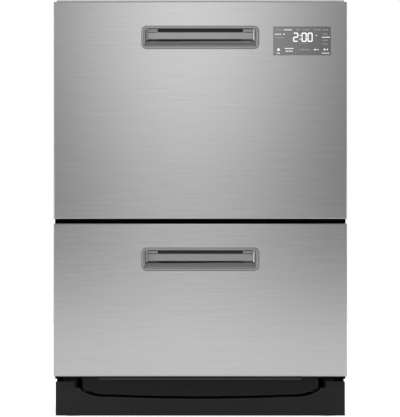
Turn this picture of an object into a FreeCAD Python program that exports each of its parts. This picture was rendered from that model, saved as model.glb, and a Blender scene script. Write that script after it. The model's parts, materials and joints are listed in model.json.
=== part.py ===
import FreeCAD, Part
import math
import os
from FreeCAD import Vector

# A built-under dishwasher with two separate washing drawers, one above the other.
# Millimetres, +Z up, +X to the right, the drawers open towards -Y.
# The origin is on the floor, under the middle of the whole machine.

# Overall sizes, read from the front view at 599 mm across the drawer fronts.
overall_depth = 573.0
front_width = 599.0
front_overhang = 2.5
lower_front_bottom = 81.8
lower_front_height = 312.0
upper_front_height = 443.2
front_gap = 9.4
top_reveal = 3.6
drawer_travel = 500.0

# Depths of the layers behind the drawer faces.
handle_lip_proud = 1.0
front_pan_depth = 19.0
front_plug_depth = 14.5
frame_wall = 3.0
frame_side_gap = 0.8
frame_columns = 4
closing_gap = 2.5
tub_rear_space = 60.5

# Sheet metal of the cabinet.
sheet = 1.0
bead_height = 3.0
bead_width = 26.0
screw_head_height = 2.0
screw_head_radius = 4.2
screw_shank = 1.7
screw_length = 8.0
rear_louvres = 5
louvre_below_top = 75.0
louvre_height = 40.0
louvre_pitch = 40.0
rear_bead_below_top = 220.0
rear_bead_pitch = 200.0
rear_bead_rows = 3
top_bead_pitch = 260.0
panel_clearance = 0.3
hem = 9.0

# Skin of the drawer fronts.
skin = 0.8
skin_bend_radius = 2.2

# Toe space and its kick panel.
kick_side_gap = 1.0
kick_recess = 30.0
kick_bottom = 1.0
kick_top = 70.5
kick_sheet = 1.2
kick_return = 8.0
smile_side_space = 55.5
smile_bottom = 40.0
smile_sag = 4.0
smile_corner_rise = 14.0
smile_corner_run = 56.0
smile_gap = 4.5
apron_depth = 14.0
apron_wall = 2.5
apron_lip_reach = 5.0
apron_lip_inset = 33.5
kick_notch_width = 16.0
kick_notch_bottom = 58.0

# Base pan and its four screw feet.
base_floor = 26.0
base_rim_height = 13.0
base_front_rim_height = 6.0
foot_inset_x = 32.0
foot_inset_front = 28.0
foot_inset_rear = 31.5
foot_base_radius = 19.0
foot_base_height = 11.0
foot_pad_height = 4.0
foot_hexagon_radius = 9.8
foot_stem_radius = 4.9
foot_stem_length = 47.0
foot_nut_radius = 11.0
foot_nut_height = 12.0
turning_clearance = 0.1

# Tubs: one deep, one shallow, from the same moulding width.
tub_side_space = 20.0
tub_wall = 3.0
tub_corner_radius = 32.0
tub_corner_steps = 3
tub_floor_slope = 14.0
tub_rim_width = 5.0
tub_rim_height = 4.0
upper_tub_depth = 334.0
lower_tub_depth = 247.0
lid_space = 42.4
sump_radius = 92.0
sump_depth = 20.0
drain_well_half = 36.0
drain_well_depth = 28.0
drain_offset_x = 112.0
drain_offset_y = 62.0
post_radius = 4.0
post_height = 46.0
rack_shelf_reach = 34.0
rack_shelf_length = 26.0
rack_height = 72.0

# Telescopic runners.
rail_sheet = 1.5
rail_gap = 0.8
rail_half_height = 23.0
rail_length = 490.0
rail_front_setback = 14.0
rail_height_in_tub = 92.0
rail_rib_height = 5.0
rail_open_edge = 10.5

# Lids that come down on the tubs, with their seals and lifts.
lid_thickness = 20.0
lid_plate = 3.0
lid_corner_radius = 18.0
lid_columns = 3
lid_rows = 2
lid_rib = 3.0
lid_lift = 8.0
lid_down_gap = 0.3
lid_front_setback = 6.0
seal_width = 8.0
seal_height = 8.0
lug_length = 12.0
lug_height = 8.0
lug_reach = 7.0
lift_length = 64.0
lift_spacing = 300.0
lift_thickness = 12.0

# Handles, display and electronics in the fronts.
handle_width = 239.0
handle_height = 46.0
handle_radius = 10.4
handle_corner_steps = 5
handle_below_top = 72.8
handle_lip = 4.7
handle_wall = 1.5
pocket_depth = 20.0
pocket_side_space = 12.0
finger_side_space = 19.8
finger_rise = 24.0
ear_height = 15.9
ear_depth = 3.0
ledge_height = -6.8
trough_depth = 7.0
display_from_right = 33.0
display_width = 117.7
display_below_top = 50.8
display_height = 58.3
display_thickness = 2.6
display_proud = 0.3
module_depth = 12.0
module_margin = 5.0

# Washing parts.
spray_arm_reach = 188.0
spray_arm_height = 11.0
spray_arm_root = 30.0
spray_arm_tip = 13.0
spray_hub_radius = 22.0
spray_arm_sweep = 20.0
spray_nozzles = 3
filter_radius = 168.0
filter_sheet = 2.5
filter_slots = 10
dome_radius = 46.0
dome_height = 28.0
dome_wall = 2.0
dome_mouth_radius = 16.0
rotor_radius = 37.0
rotor_vanes = 6
rotor_height = 28.0
rotor_gap = 0.6
motor_radius = 76.0
motor_height = 27.0
motor_boss = 3.0
motor_ribs = 4
drain_filter_radius = 31.0

# Wire racks. The wires are drawn six-sided or four-sided, 4 mm across the flats.
wire = 4.0
rack_side_space = 14.0
rack_front_space = 64.0
rack_rear_space = 18.0
rack_long_count = 7
rack_cross_count = 7
rack_corner = 22.0
upper_rack_side = 92.0
lower_rack_side = 70.0
tine_height_upper = 78.0
tine_height_lower = 62.0
tine_count = 8
tine_row_margin = 40.0
hinge_rod_radius = 2.3
hinge_rod_overhang = 60.0
saddle_wall = 2.0
saddle_length = 12.0

# Folding cup shelves, cutlery basket, dispensers.
cup_shelf_width = 104.0
cup_shelf_length = 320.0
cup_shelf_thickness = 4.0
cup_shelf_slots = 5
glass_notches = 3
glass_notch_radius = 13.0
basket_length = 210.0
basket_width = 66.0
basket_height = 112.0
basket_wall = 2.0
basket_corner_radius = 10.0
basket_arch_height = 26.0
basket_slots = 5
dispenser_width = 150.0
dispenser_height = 66.0
dispenser_depth = 13.0
dispenser_radius = 12.0
dispenser_below_rim = 16.0
door_width = 62.0
door_height = 42.0
door_thickness = 3.0
door_pin_radius = 2.2
cap_radius = 14.0
cap_plug_radius = 8.2
cap_depth = 5.0

# Fittings on the back.
service_from_right = 58.0
service_width = 145.0
service_bottom = 48.0
service_top = 112.0
service_depth = 34.0
inlet_radius = 13.2
inlet_length = 14.0
drain_radius = 10.5
drain_length = 24.0
gland_radius = 11.0
gland_bore = 4.2
gland_length = 18.0
bench_hole_radius = 2.6
bench_hole_inset = 53.0

# Planes that follow from the driving sizes.
chassis_width = front_width - 2 * front_overhang
kick_width = chassis_width - 2 * kick_side_gap
rear_y = overall_depth / 2
face_y = -overall_depth / 2 + handle_lip_proud
pan_back_y = face_y + front_pan_depth
chassis_front_y = pan_back_y + closing_gap
tub_front_y = pan_back_y + front_plug_depth
tub_back_y = rear_y - tub_rear_space
tub_middle_y = (tub_front_y + tub_back_y) / 2
lower_front_top = lower_front_bottom + lower_front_height
upper_front_bottom = lower_front_top + front_gap
upper_front_top = upper_front_bottom + upper_front_height
overall_height = upper_front_top + top_reveal
side_outer_x = chassis_width / 2 - bead_height
side_inner_x = side_outer_x - sheet
kick_face_y = face_y + kick_recess
kick_back_y = kick_face_y + kick_sheet
rear_sheet_y = rear_y - screw_head_height
tub_half_width = side_inner_x - tub_side_space
rack_half_width = tub_half_width - tub_wall - rack_side_space
smile_half_width = kick_width / 2 - smile_side_space
pocket_half_width = handle_width / 2 - pocket_side_space
finger_half_width = pocket_half_width - finger_side_space
display_right = front_width / 2 - display_from_right
display_left = display_right - display_width
service_right = side_inner_x - service_from_right
service_left = service_right - service_width
bench_hole_x = side_inner_x - bench_hole_inset


class Drawer:
    """The levels of one drawer, from its front panel's height and its tub's depth."""

    def __init__(self, name, bottom, top, tub_depth, rack_side, tine_height):
        self.name = name
        self.bottom = bottom
        self.top = top
        self.rim = top - lid_space
        self.floor = self.rim - tub_depth
        self.rail = self.floor + rail_height_in_tub
        self.handle = top - handle_below_top
        self.rack = self.floor + rack_height
        self.rack_side = rack_side
        self.tine_height = tine_height
        self.lid_bottom = self.rim + lid_down_gap + lid_lift + seal_height


upper = Drawer("upper", upper_front_bottom, upper_front_top, upper_tub_depth, upper_rack_side, tine_height_upper)
lower = Drawer("lower", lower_front_bottom, lower_front_top, lower_tub_depth, lower_rack_side, tine_height_lower)


# Small tools for building shapes.
UP, BACK, RIGHT = (0, 0, 1), (0, 1, 0), (1, 0, 0)


def box(x0, x1, y0, y1, z0, z1):
    return Part.makeBox(x1 - x0, y1 - y0, z1 - z0, Vector(x0, y0, z0))


def upright_rod(radius, x, y, z0, z1):
    return Part.makeCylinder(radius, z1 - z0, Vector(x, y, z0))


def depth_rod(radius, x, z, y0, y1):
    return Part.makeCylinder(radius, y1 - y0, Vector(x, y0, z), Vector(0, 1, 0))


def cross_rod(radius, y, z, x0, x1):
    return Part.makeCylinder(radius, x1 - x0, Vector(x0, y, z), Vector(1, 0, 0))


def prism(sides, radius, start, axis, length):
    """A regular prism along X, Y or Z whose corners lie at the radius."""
    along = Vector(*axis)
    first = Vector(0, 0, 1) if abs(along.z) < 0.5 else Vector(1, 0, 0)
    second = along.cross(first)
    points = []
    for i in range(sides):
        angle = 2 * math.pi * (i + 0.5) / sides
        points.append(start + first * (radius * math.cos(angle)) + second * (radius * math.sin(angle)))
    return polygon(points).extrude(along * length)


def turned(radius, start, axis, length, sides=12):
    """A small turned piece, drawn with flats. Its corners lie at the radius."""
    return prism(sides, radius, start, axis, length)


def bored(radius, start, axis, length, sides=12):
    """The hole for a small turned piece. Its flats lie at the radius, so the piece can turn in it."""
    return prism(sides, radius / math.cos(math.pi / sides), start, axis, length)


def joined(first, *others):
    return first.multiFuse(list(others)).removeSplitter() if others else first


def group(shapes):
    return Part.makeCompound(shapes)


def mirrored(shape):
    return shape.mirror(Vector(0, 0, 0), Vector(1, 0, 0))


def both_sides(shape):
    return group([shape, mirrored(shape)])


def spread(first, last, count):
    return [first + (last - first) * i / (count - 1) for i in range(count)]


def polygon(points):
    return Part.Face(Part.makePolygon(points + [points[0]]))


def cornered_outline(x0, x1, y0, y1, z, radius, steps):
    """Points round a rectangle in plan, with a few flats round each corner."""
    points = []
    centres = [(x1 - radius, y0 + radius), (x1 - radius, y1 - radius), (x0 + radius, y1 - radius), (x0 + radius, y0 + radius)]
    for quarter, (cx, cy) in enumerate(centres):
        for i in range(steps + 1):
            angle = math.pi / 2 * (quarter - 1 + i / steps)
            points.append(Vector(cx + radius * math.cos(angle), cy + radius * math.sin(angle), z))
    return points


def cornered_slab(x0, x1, y0, y1, z0, z1, radius, steps=3):
    return polygon(cornered_outline(x0, x1, y0, y1, z0, radius, steps)).extrude(Vector(0, 0, z1 - z0))


def front_outline(x0, x1, y, z0, z1, radius, steps):
    """The same outline standing up, seen from the front."""
    return [Vector(p.x, y, p.y) for p in cornered_outline(x0, x1, z0, z1, 0, radius, steps)]


def front_slab(x0, x1, y0, y1, z0, z1, radius, steps=3):
    return polygon(front_outline(x0, x1, y0, z0, z1, radius, steps)).extrude(Vector(0, y1 - y0, 0))


def tapered(low, high):
    """A solid with flat sides between two outlines that have the same number of points."""
    faces = [polygon(low), polygon(high)]
    for i in range(len(low)):
        faces.append(polygon([low[i - 1], low[i], high[i], high[i - 1]]))
    solid = Part.Solid(Part.Shell(faces))
    if solid.Volume < 0:
        solid.reverse()
    return solid


def frustum(at, u0, u1, v0, v1, height):
    """A pressed bead's outside: a rectangle that draws in by its height on every side."""
    low = [at(u0, v0, 0), at(u1, v0, 0), at(u1, v1, 0), at(u0, v1, 0)]
    inset = height
    high = [
        at(u0 + inset, v0 + inset, height),
        at(u1 - inset, v0 + inset, height),
        at(u1 - inset, v1 - inset, height),
        at(u0 + inset, v1 - inset, height),
    ]
    return tapered(low, high)


def hex_wire(start, direction, length):
    """A straight rack wire, six-sided, with its lowest and highest flats level where it lies."""
    return prism(6, wire / math.sqrt(3), start, direction, length)


def upright_wire(x, y, z, height):
    """An upright wire or tine, drawn four-sided because a rack has so many."""
    return prism(4, wire / math.sqrt(2), Vector(x, y, z), UP, height)


# Cabinet: two side panels with pressed beads, a top, a back and a base pan.
def side_panel():
    rails = [drawer.rail for drawer in (upper, lower)]
    panel = box(side_inner_x, side_outer_x, chassis_front_y + 2 * sheet, rear_y, base_floor, overall_height)
    toe_space = box(side_inner_x - 1, side_outer_x + 1, chassis_front_y, kick_back_y, 0, kick_top + 6)
    panel = panel.cut(toe_space)
    centres = [lower_front_bottom + 10]
    for rail in sorted(rails):
        centres += [rail + 75, rail + 150]
    centres.append(upper.rail + 225)
    outside = []
    for z in centres:
        place = lambda u, v, h: Vector(side_outer_x + h, u, v)
        y0, y1 = chassis_front_y + 45, rear_y - 40
        outside.append(frustum(place, y0, y1, z - bead_width / 2, z + bead_width / 2, bead_height))
    inside = [bead.translated(Vector(-sheet, 0, 0)) for bead in outside]
    return joined(panel, *outside).cut(inside)


def top_panel():
    plate = box(-side_inner_x, side_inner_x, chassis_front_y, rear_y, overall_height - sheet, overall_height)
    low = overall_height - hem
    lip = box(-side_inner_x, side_inner_x, chassis_front_y, chassis_front_y + sheet, low, overall_height)
    flange = box(side_inner_x - sheet, side_inner_x, chassis_front_y, rear_sheet_y - sheet, low, overall_height)
    panel = joined(plate, lip, flange, mirrored(flange))
    outside, inside = [], []
    for x in (-top_bead_pitch / 2, top_bead_pitch / 2):
        place = lambda u, v, h: Vector(u, v, overall_height - sheet - h)
        bead = frustum(place, x - 16, x + 16, chassis_front_y + 80, rear_y - 50, bead_height)
        outside.append(bead)
        inside.append(bead.translated(Vector(0, 0, sheet)))
    hole_y = chassis_front_y + 22
    for x in (-bench_hole_x, bench_hole_x):
        inside.append(upright_rod(bench_hole_radius, x, hole_y, overall_height - 5, overall_height + 5))
    return joined(panel, *outside).cut(inside)


def rear_screw_places():
    places = []
    for z in (lower_front_bottom + 60, overall_height - 14):
        places += [(-side_inner_x + 14, z), (side_inner_x - 14, z)]
    return places


def rear_panel():
    plate = box(-side_inner_x, side_inner_x, rear_sheet_y - sheet, rear_sheet_y, base_floor + sheet, overall_height - sheet)
    pocket_y = rear_sheet_y - service_depth
    pocket = box(service_left, service_right, pocket_y, rear_sheet_y, service_bottom, service_top)
    hollow = box(
        service_left + sheet, service_right - sheet, pocket_y + sheet, rear_y, service_bottom + sheet, service_top - sheet
    )
    outside, inside = [pocket], [hollow]
    highest = overall_height - rear_bead_below_top
    for z in spread(highest - rear_bead_pitch * (rear_bead_rows - 1), highest, rear_bead_rows):
        place = lambda u, v, h: Vector(u, rear_sheet_y - sheet - h, v)
        bead = frustum(place, -side_inner_x + 50, side_inner_x - 50, z - bead_width, z + bead_width, bead_height)
        outside.append(bead)
        inside.append(bead.translated(Vector(0, sheet, 0)))
    louvre_top = overall_height - louvre_below_top
    louvre_reach = louvre_pitch * (rear_louvres - 1) / 2
    for x in spread(-louvre_reach, louvre_reach, rear_louvres):
        inside.append(box(x - 4, x + 4, rear_sheet_y - 5, rear_y, louvre_top - louvre_height, louvre_top))
    for x, z in rear_screw_places():
        inside.append(bored(screw_shank + turning_clearance, Vector(x, rear_sheet_y - 5, z), BACK, 10, 6))
    for x, z, radius in service_fittings():
        inside.append(bored(radius + turning_clearance, Vector(x, pocket_y - 5, z), BACK, 10))
    return joined(plate, *outside).cut(inside)


def service_fittings():
    """Where the water inlet, the drain and the cable gland pass the pocket's wall, with their neck radii."""
    z = (service_bottom + service_top) / 2
    return [
        (service_left + 34, z, inlet_radius - 3),
        (service_left + 80, z, drain_radius - 2),
        (service_right - 26, z, gland_radius - 3),
    ]


def case_screws():
    """Hexagon-head sheet screws that hold the back."""
    screws = []
    for x, z in rear_screw_places():
        shank = prism(6, screw_shank, Vector(x, rear_sheet_y - screw_length, z), BACK, screw_length)
        head = prism(6, screw_head_radius, Vector(x, rear_sheet_y, z), BACK, screw_head_height)
        screws.append(joined(head, shank))
    return group(screws)


def foot_places():
    x = side_inner_x - foot_inset_x
    return {
        "front_left": (-x, kick_back_y + foot_inset_front),
        "front_right": (x, kick_back_y + foot_inset_front),
        "rear_left": (-x, rear_sheet_y - foot_inset_rear),
        "rear_right": (x, rear_sheet_y - foot_inset_rear),
    }


def base_pan():
    y0 = kick_back_y + 4
    y1 = rear_sheet_y - sheet
    top = base_floor + base_rim_height
    tray = box(-side_inner_x, side_inner_x, y0, y1, base_floor, top)
    hollow = box(-side_inner_x + sheet, side_inner_x - sheet, y0 + sheet, y1 - sheet, base_floor + sheet, top + 1)
    low_front = box(-side_inner_x + 60, side_inner_x - 60, y0 - 1, y0 + sheet + 1, base_floor + base_front_rim_height, top + 1)
    nuts, bores = [], []
    for x, y in foot_places().values():
        nuts.append(prism(6, foot_nut_radius, Vector(x, y, base_floor - foot_nut_height), UP, foot_nut_height))
        bores.append(bored(foot_stem_radius + turning_clearance, Vector(x, y, 0), UP, top))
    return joined(tray.cut([hollow, low_front]), *nuts).cut(bores)


def screw_foot(x, y):
    """A levelling foot: a round pad, a hexagon for the spanner and a stem that screws into the base."""
    pad = turned(foot_base_radius, Vector(x, y, 0), UP, foot_pad_height)
    hexagon = prism(6, foot_hexagon_radius, Vector(x, y, foot_pad_height), UP, foot_base_height - foot_pad_height)
    stem = turned(foot_stem_radius, Vector(x, y, foot_base_height), UP, foot_stem_length)
    return joined(pad, hexagon, stem)


def front_trim():
    """Black caps on the front edges of the side panels, and the rail between the drawers."""
    y0, y1 = chassis_front_y, chassis_front_y + 12
    cap = box(side_inner_x - 1.7, chassis_width / 2, y0, y1, kick_top + 6, overall_height - hem - panel_clearance)
    slot = box(side_inner_x, side_outer_x, y0 + 2 * sheet, y1 + 1, 0, overall_height)
    cap = cap.cut(slot)
    z0, z1 = lower_front_top - 3, upper_front_bottom + 0.4
    half = side_inner_x - 1.7
    rail = box(-half, half, y0, y0 + 18, z0, z1)
    hollow = box(-half + 2, half - 2, y0 + 1.5, y0 + 19, z0 + 1.5, z1 - 1.5)
    return group([cap, mirrored(cap), rail.cut(hollow)])


# Toe kick and the apron under the lower drawer share one smile-shaped outline.
def smile_face(y, grow, top):
    """The smile: a flat arc along the bottom, a quick arc up each side, straight above."""
    half = smile_half_width + grow
    bottom = smile_bottom - grow
    turn_x = half - smile_corner_run
    turn_z = bottom + smile_sag
    side_z = turn_z + smile_corner_rise
    middle_x = half - smile_corner_run * 0.34
    middle_z = turn_z + smile_corner_rise * 0.34
    right = Part.Arc(Vector(turn_x, y, turn_z), Vector(middle_x, y, middle_z), Vector(half, y, side_z))
    left = Part.Arc(Vector(-half, y, side_z), Vector(-middle_x, y, middle_z), Vector(-turn_x, y, turn_z))
    low = Part.Arc(Vector(-turn_x, y, turn_z), Vector(0, y, bottom), Vector(turn_x, y, turn_z))
    edges = [
        left.toShape(),
        low.toShape(),
        right.toShape(),
        Part.makeLine(Vector(half, y, side_z), Vector(half, y, top)),
        Part.makeLine(Vector(half, y, top), Vector(-half, y, top)),
        Part.makeLine(Vector(-half, y, top), Vector(-half, y, side_z)),
    ]
    return Part.Face(Part.Wire(edges))


def toe_kick():
    half = kick_width / 2
    plate = box(-half, half, kick_face_y, kick_back_y, kick_bottom, kick_top)
    bottom_return = box(-half, half, kick_face_y, kick_back_y + kick_return, kick_bottom, kick_bottom + kick_sheet)
    tops = box(half - 33, half, kick_face_y, kick_back_y, kick_top - kick_sheet, kick_top)
    cut = smile_face(kick_face_y - 1, smile_gap, kick_top + 1).extrude(Vector(0, kick_return + 5, 0))
    notch_outer = smile_half_width + kick_notch_width
    notch = box(smile_half_width - 4, notch_outer, kick_face_y - 1, kick_back_y + 1, kick_notch_bottom, kick_top + 1)
    return joined(plate, bottom_return, tops, mirrored(tops)).cut([cut, notch, mirrored(notch)])


def lower_apron():
    """The moulding under the lower drawer that fills the smile in the kick panel."""
    top = lower.floor - tub_wall
    body = smile_face(kick_face_y, 0, top).extrude(Vector(0, apron_depth, 0))
    hollow = smile_face(kick_face_y + apron_wall, -apron_wall, top + 1).extrude(Vector(0, apron_depth, 0))
    shell = body.cut(hollow)
    ledge_half = smile_half_width - apron_lip_inset
    ledge_top = lower_front_bottom - 1.5
    points = [
        Vector(-ledge_half, kick_face_y, ledge_top - 9),
        Vector(-ledge_half, kick_face_y - apron_lip_reach, ledge_top - 2.5),
        Vector(-ledge_half, kick_face_y, ledge_top),
    ]
    ledge = polygon(points).extrude(Vector(2 * ledge_half, 0, 0))
    return joined(shell, ledge)


# Drawer fronts: a folded skin, the moulded frame inside it, and the handle.
def front_panel(drawer):
    half = front_width / 2
    outer = box(-half, half, face_y, pan_back_y, drawer.bottom, drawer.top)
    edges = [e for e in outer.Edges if e.CenterOfMass.y < face_y + 0.01]
    outer = outer.makeFillet(skin_bend_radius, edges)
    inner = box(-half + skin, half - skin, face_y + skin, pan_back_y + 1, drawer.bottom + skin, drawer.top - skin)
    edges = [e for e in inner.Edges if e.CenterOfMass.y < face_y + skin + 0.01]
    inner = inner.makeFillet(skin_bend_radius - skin, edges)
    grow = handle_lip - 3.0
    hw, hh = handle_width / 2 - grow, handle_height / 2 - grow
    holes = [
        front_slab(
            -hw, hw, face_y - 1, face_y + 2, drawer.handle - hh, drawer.handle + hh,
            handle_radius - grow, handle_corner_steps,
        )
    ]
    if drawer is upper:
        x0, x1, z0, z1 = display_place()
        holes.append(box(x0, x1, face_y - 1, face_y + 2, z0, z1))
    return outer.cut([inner] + holes)


def display_place():
    z1 = upper.top - display_below_top
    return display_left, display_right, z1 - display_height, z1


def front_frame(drawer):
    """Moulded carrier: a ribbed tray inside the skin, open towards it."""
    clear = skin + frame_side_gap
    half = front_width / 2 - clear
    z0, z1 = drawer.bottom + clear, drawer.top - clear
    y0 = face_y + skin + panel_clearance
    tray = box(-half, half, y0, pan_back_y, z0, z1)
    cutters = []
    wall, back = frame_wall, frame_wall
    xs = spread(-half + wall, half, frame_columns + 1)
    rib_z = drawer.handle - handle_height
    for x0, x1 in zip(xs, xs[1:]):
        for low, high in ((z0 + wall, rib_z), (rib_z + wall, z1 - wall)):
            cutters.append(box(x0, x1 - wall, y0 - 1, pan_back_y - back, low, high))
    cutters.append(handle_room(drawer))
    if drawer is upper:
        x0, x1, z0, z1 = display_place()
        grow = module_margin + panel_clearance
        depth = face_y + display_thickness - display_proud + module_depth + panel_clearance
        cutters.append(box(x0 - grow, x1 + grow, y0 - 1, depth, z0 - grow, z1 + grow))
    return tray.cut(cutters)


def handle_room(drawer):
    """The space that the mouldings behind the skin leave for the finger pocket."""
    zh = drawer.handle
    reach_x = handle_width / 2 + panel_clearance
    reach_z = finger_rise + handle_wall + panel_clearance
    deep = face_y + pocket_depth + handle_wall + panel_clearance
    return box(-reach_x, reach_x, face_y, deep, zh - handle_height / 2, zh + reach_z)


def front_spacer(drawer):
    """The narrower moulding between the carrier and the tub's front wall, which is bolted through it."""
    wall = frame_wall
    z0, z1 = drawer.floor - tub_wall, drawer.rim
    body = box(-tub_half_width, tub_half_width, pan_back_y, tub_front_y, z0, z1)
    cutters = [handle_room(drawer)]
    xs = spread(-tub_half_width + wall, tub_half_width, frame_columns)
    for x0, x1 in zip(xs, xs[1:]):
        cutters.append(box(x0, x1 - wall, pan_back_y - 1, tub_front_y + 1, z0 + wall, z1 - wall))
    return body.cut(cutters)


def handle(drawer):
    """A pressed finger pocket behind a rounded frame. A deep hollow runs up behind the frame's top edge
    between two ears, and a shallow trough slopes down to the frame's bottom edge."""
    zh = drawer.handle
    hw, hh = handle_width / 2, handle_height / 2

    def at(depth, z):
        return Vector(0, face_y + depth, zh + z)

    def outline(inset, depth):
        return front_outline(
            inset - hw, hw - inset, face_y + depth, zh - hh + inset, zh + hh - inset,
            handle_radius - inset, handle_corner_steps,
        )

    bevel = handle_lip_proud * 0.9
    frame = tapered(outline(0, 0), outline(bevel, -handle_lip_proud))
    mouth_w, mouth_h = hw - handle_lip, hh - handle_lip
    neck_w, neck_h = mouth_w + handle_wall, mouth_h + handle_wall
    neck = box(-neck_w + 4, neck_w - 4, face_y, face_y + 10, zh - neck_h, zh + neck_h)
    cheeks = box(-neck_w, neck_w, face_y, face_y + 10, zh - neck_h + 5, zh + neck_h - 5)
    low = ledge_height - handle_wall
    bucket_half = mouth_w - 1
    bucket = box(-bucket_half, bucket_half, face_y + 2, face_y + pocket_depth + handle_wall, zh + low, zh + ear_height + handle_wall)
    finger_half = finger_half_width + handle_wall
    roof = box(
        -finger_half, finger_half, face_y + skin + panel_clearance, face_y + pocket_depth + handle_wall,
        zh + ear_height - 4, zh + finger_rise + handle_wall,
    )
    body = joined(frame, neck, cheeks, bucket, roof)

    mouth = front_slab(
        -mouth_w, mouth_w, face_y - 3, face_y + ear_depth, zh - mouth_h, zh + mouth_h,
        handle_radius - 4.5, handle_corner_steps,
    )
    trough_half = mouth_w - 2
    trough = polygon([
        at(1, 1 - mouth_h), at(ear_depth, 1.4 - mouth_h), at(trough_depth, ledge_height - 1.7),
        at(trough_depth + 1.5, ledge_height), at(trough_depth + 1.5, ear_height), at(1, ear_height),
    ]).extrude(Vector(2 * trough_half, 0, 0)).translated(Vector(-trough_half, 0, 0))
    bend = 6.0
    deep_low = at(pocket_depth - bend, ledge_height)
    deep_mid = at(pocket_depth - bend * (1 - math.sqrt(0.5)), ledge_height + bend * (1 - math.sqrt(0.5)))
    deep_high = at(pocket_depth, ledge_height + bend)
    edges = [
        Part.makeLine(at(trough_depth, ledge_height), deep_low),
        Part.Arc(deep_low, deep_mid, deep_high).toShape(),
        Part.makeLine(deep_high, at(pocket_depth, ear_height)),
        Part.makeLine(at(pocket_depth, ear_height), at(trough_depth, ear_height)),
        Part.makeLine(at(trough_depth, ear_height), at(trough_depth, ledge_height)),
    ]
    pocket = Part.Face(Part.Wire(edges)).extrude(Vector(2 * pocket_half_width, 0, 0))
    pocket = pocket.translated(Vector(-pocket_half_width, 0, 0))
    flare = polygon([
        Vector(pocket_half_width - 4, face_y + ear_depth - 0.5, zh + ledge_height),
        Vector(mouth_w - 2, face_y + ear_depth - 0.5, zh + ledge_height),
        Vector(pocket_half_width, face_y + pocket_depth - 4, zh + ledge_height),
        Vector(pocket_half_width - 4, face_y + pocket_depth - 4, zh + ledge_height),
    ]).extrude(Vector(0, 0, ear_height - ledge_height))
    finger = box(
        -finger_half_width, finger_half_width, face_y + skin + panel_clearance + handle_wall, face_y + pocket_depth,
        zh + ear_height - 5, zh + finger_rise,
    )
    return body.cut([mouth, trough, pocket, flare, mirrored(flare), finger])


def display_window():
    x0, x1, z0, z1 = display_place()
    y0 = face_y - display_proud
    return box(x0, x1, y0, y0 + display_thickness, z0, z1)


def control_module():
    """The board housing behind the window, with its plug sockets along the lower edge."""
    x0, x1, z0, z1 = display_place()
    y0 = face_y + display_thickness - display_proud
    m = module_margin
    case = box(x0 - m, x1 + m, y0, y0 + module_depth, z0 - m, z1 + m)
    sockets = [box(x, x + 16, y0 + 5, y0 + module_depth + 1, z0 - m - 1, z0 - m + 7) for x in spread(x0, x1 - 16, 4)]
    return case.cut(sockets)


# Tubs and what is fixed to them.
def tub(drawer):
    x, y0, y1 = tub_half_width, tub_front_y, tub_back_y
    z0, z1 = drawer.floor - tub_wall, drawer.rim
    r, wall, slope = tub_corner_radius, tub_wall, tub_floor_slope
    middle = tub_middle_y

    def outline(inset, z):
        return cornered_outline(inset - x, x - inset, y0 + inset, y1 - inset, z, r - inset, tub_corner_steps)

    outer = polygon(outline(0, z0)).extrude(Vector(0, 0, z1 - z0))
    lower_part = tapered(outline(wall + slope, drawer.floor), outline(wall, drawer.floor + slope))
    inner = polygon(outline(wall, drawer.floor + slope)).extrude(Vector(0, 0, drawer.rim))
    w = tub_rim_width
    rim = cornered_slab(-x - w, x + w, y0, y1 + w, z1 - tub_rim_height, z1, r, tub_corner_steps)
    sump = turned(sump_radius + wall, Vector(0, middle, z0 - sump_depth), UP, sump_depth + 1, 16)
    sump_hollow = turned(sump_radius, Vector(0, middle, drawer.floor - sump_depth), UP, sump_depth + 1, 16)
    drain_x, drain_y, half = drain_offset_x, middle + drain_offset_y, drain_well_half
    well_z = drawer.floor - drain_well_depth
    well = box(drain_x - half - wall, drain_x + half + wall, drain_y - half - wall, drain_y + half + wall, well_z - wall, z0 + 1)
    well_hollow = box(drain_x - half, drain_x + half, drain_y - half, drain_y + half, well_z, drawer.floor + 1)
    ribs = []
    for side in (-1, 1):
        zr = drawer.rail + side * rail_half_height / 2
        rib = box(x, inner_rail_x(), y0 + 20, y1 - 24, zr - rail_rib_height / 2, zr + rail_rib_height / 2)
        ribs += [rib, mirrored(rib)]
    return [joined(outer, rim, sump, well).cut([inner, lower_part, sump_hollow, well_hollow])] + ribs


def spray_post(drawer):
    """The post that stands in the sump. The pump wheel and the spray arm turn on it."""
    foot = Vector(0, tub_middle_y, drawer.floor - sump_depth)
    return Part.makeCylinder(post_radius, sump_depth + post_height, foot)


def rack_rests(drawer):
    """Four wedge-shaped brackets on the tub's side walls, which the rack stands on."""
    wall_x = tub_half_width - tub_wall
    reach = wall_x - rack_shelf_reach
    rests = []
    for y in rack_shelf_places():
        points = [
            Vector(wall_x, y, drawer.rack),
            Vector(reach, y, drawer.rack),
            Vector(reach, y, drawer.rack - 5),
            Vector(wall_x, y, drawer.rack - 30),
        ]
        rest = polygon(points).extrude(Vector(0, rack_shelf_length, 0))
        rests += [rest, mirrored(rest)]
    return rests


def rack_shelf_places():
    y0, y1 = rack_ends()
    return (y0 + 40, y1 - 40 - rack_shelf_length)


def wash_motor(drawer):
    """The flat motor under the sump: a ribbed can with its terminal block."""
    top = drawer.floor - tub_wall - sump_depth
    low = top - motor_height
    can = turned(motor_radius, Vector(0, tub_middle_y, low), UP, motor_height, 16)
    boss = turned(motor_radius * 0.4, Vector(0, tub_middle_y, low - motor_boss), UP, motor_boss + 1)
    ribs = []
    for i in range(motor_ribs):
        rib = box(motor_radius - 6, motor_radius + 5, -2, 2, low + 6, top)
        rib.rotate(Vector(0, 0, 0), Vector(0, 0, 1), 360 / motor_ribs * i)
        ribs.append(rib.translated(Vector(0, tub_middle_y, 0)))
    block = box(-16, 16, tub_middle_y + motor_radius - 8, tub_middle_y + motor_radius + 14, top - 20, top - 4)
    return joined(can, boss, block, *ribs)


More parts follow.
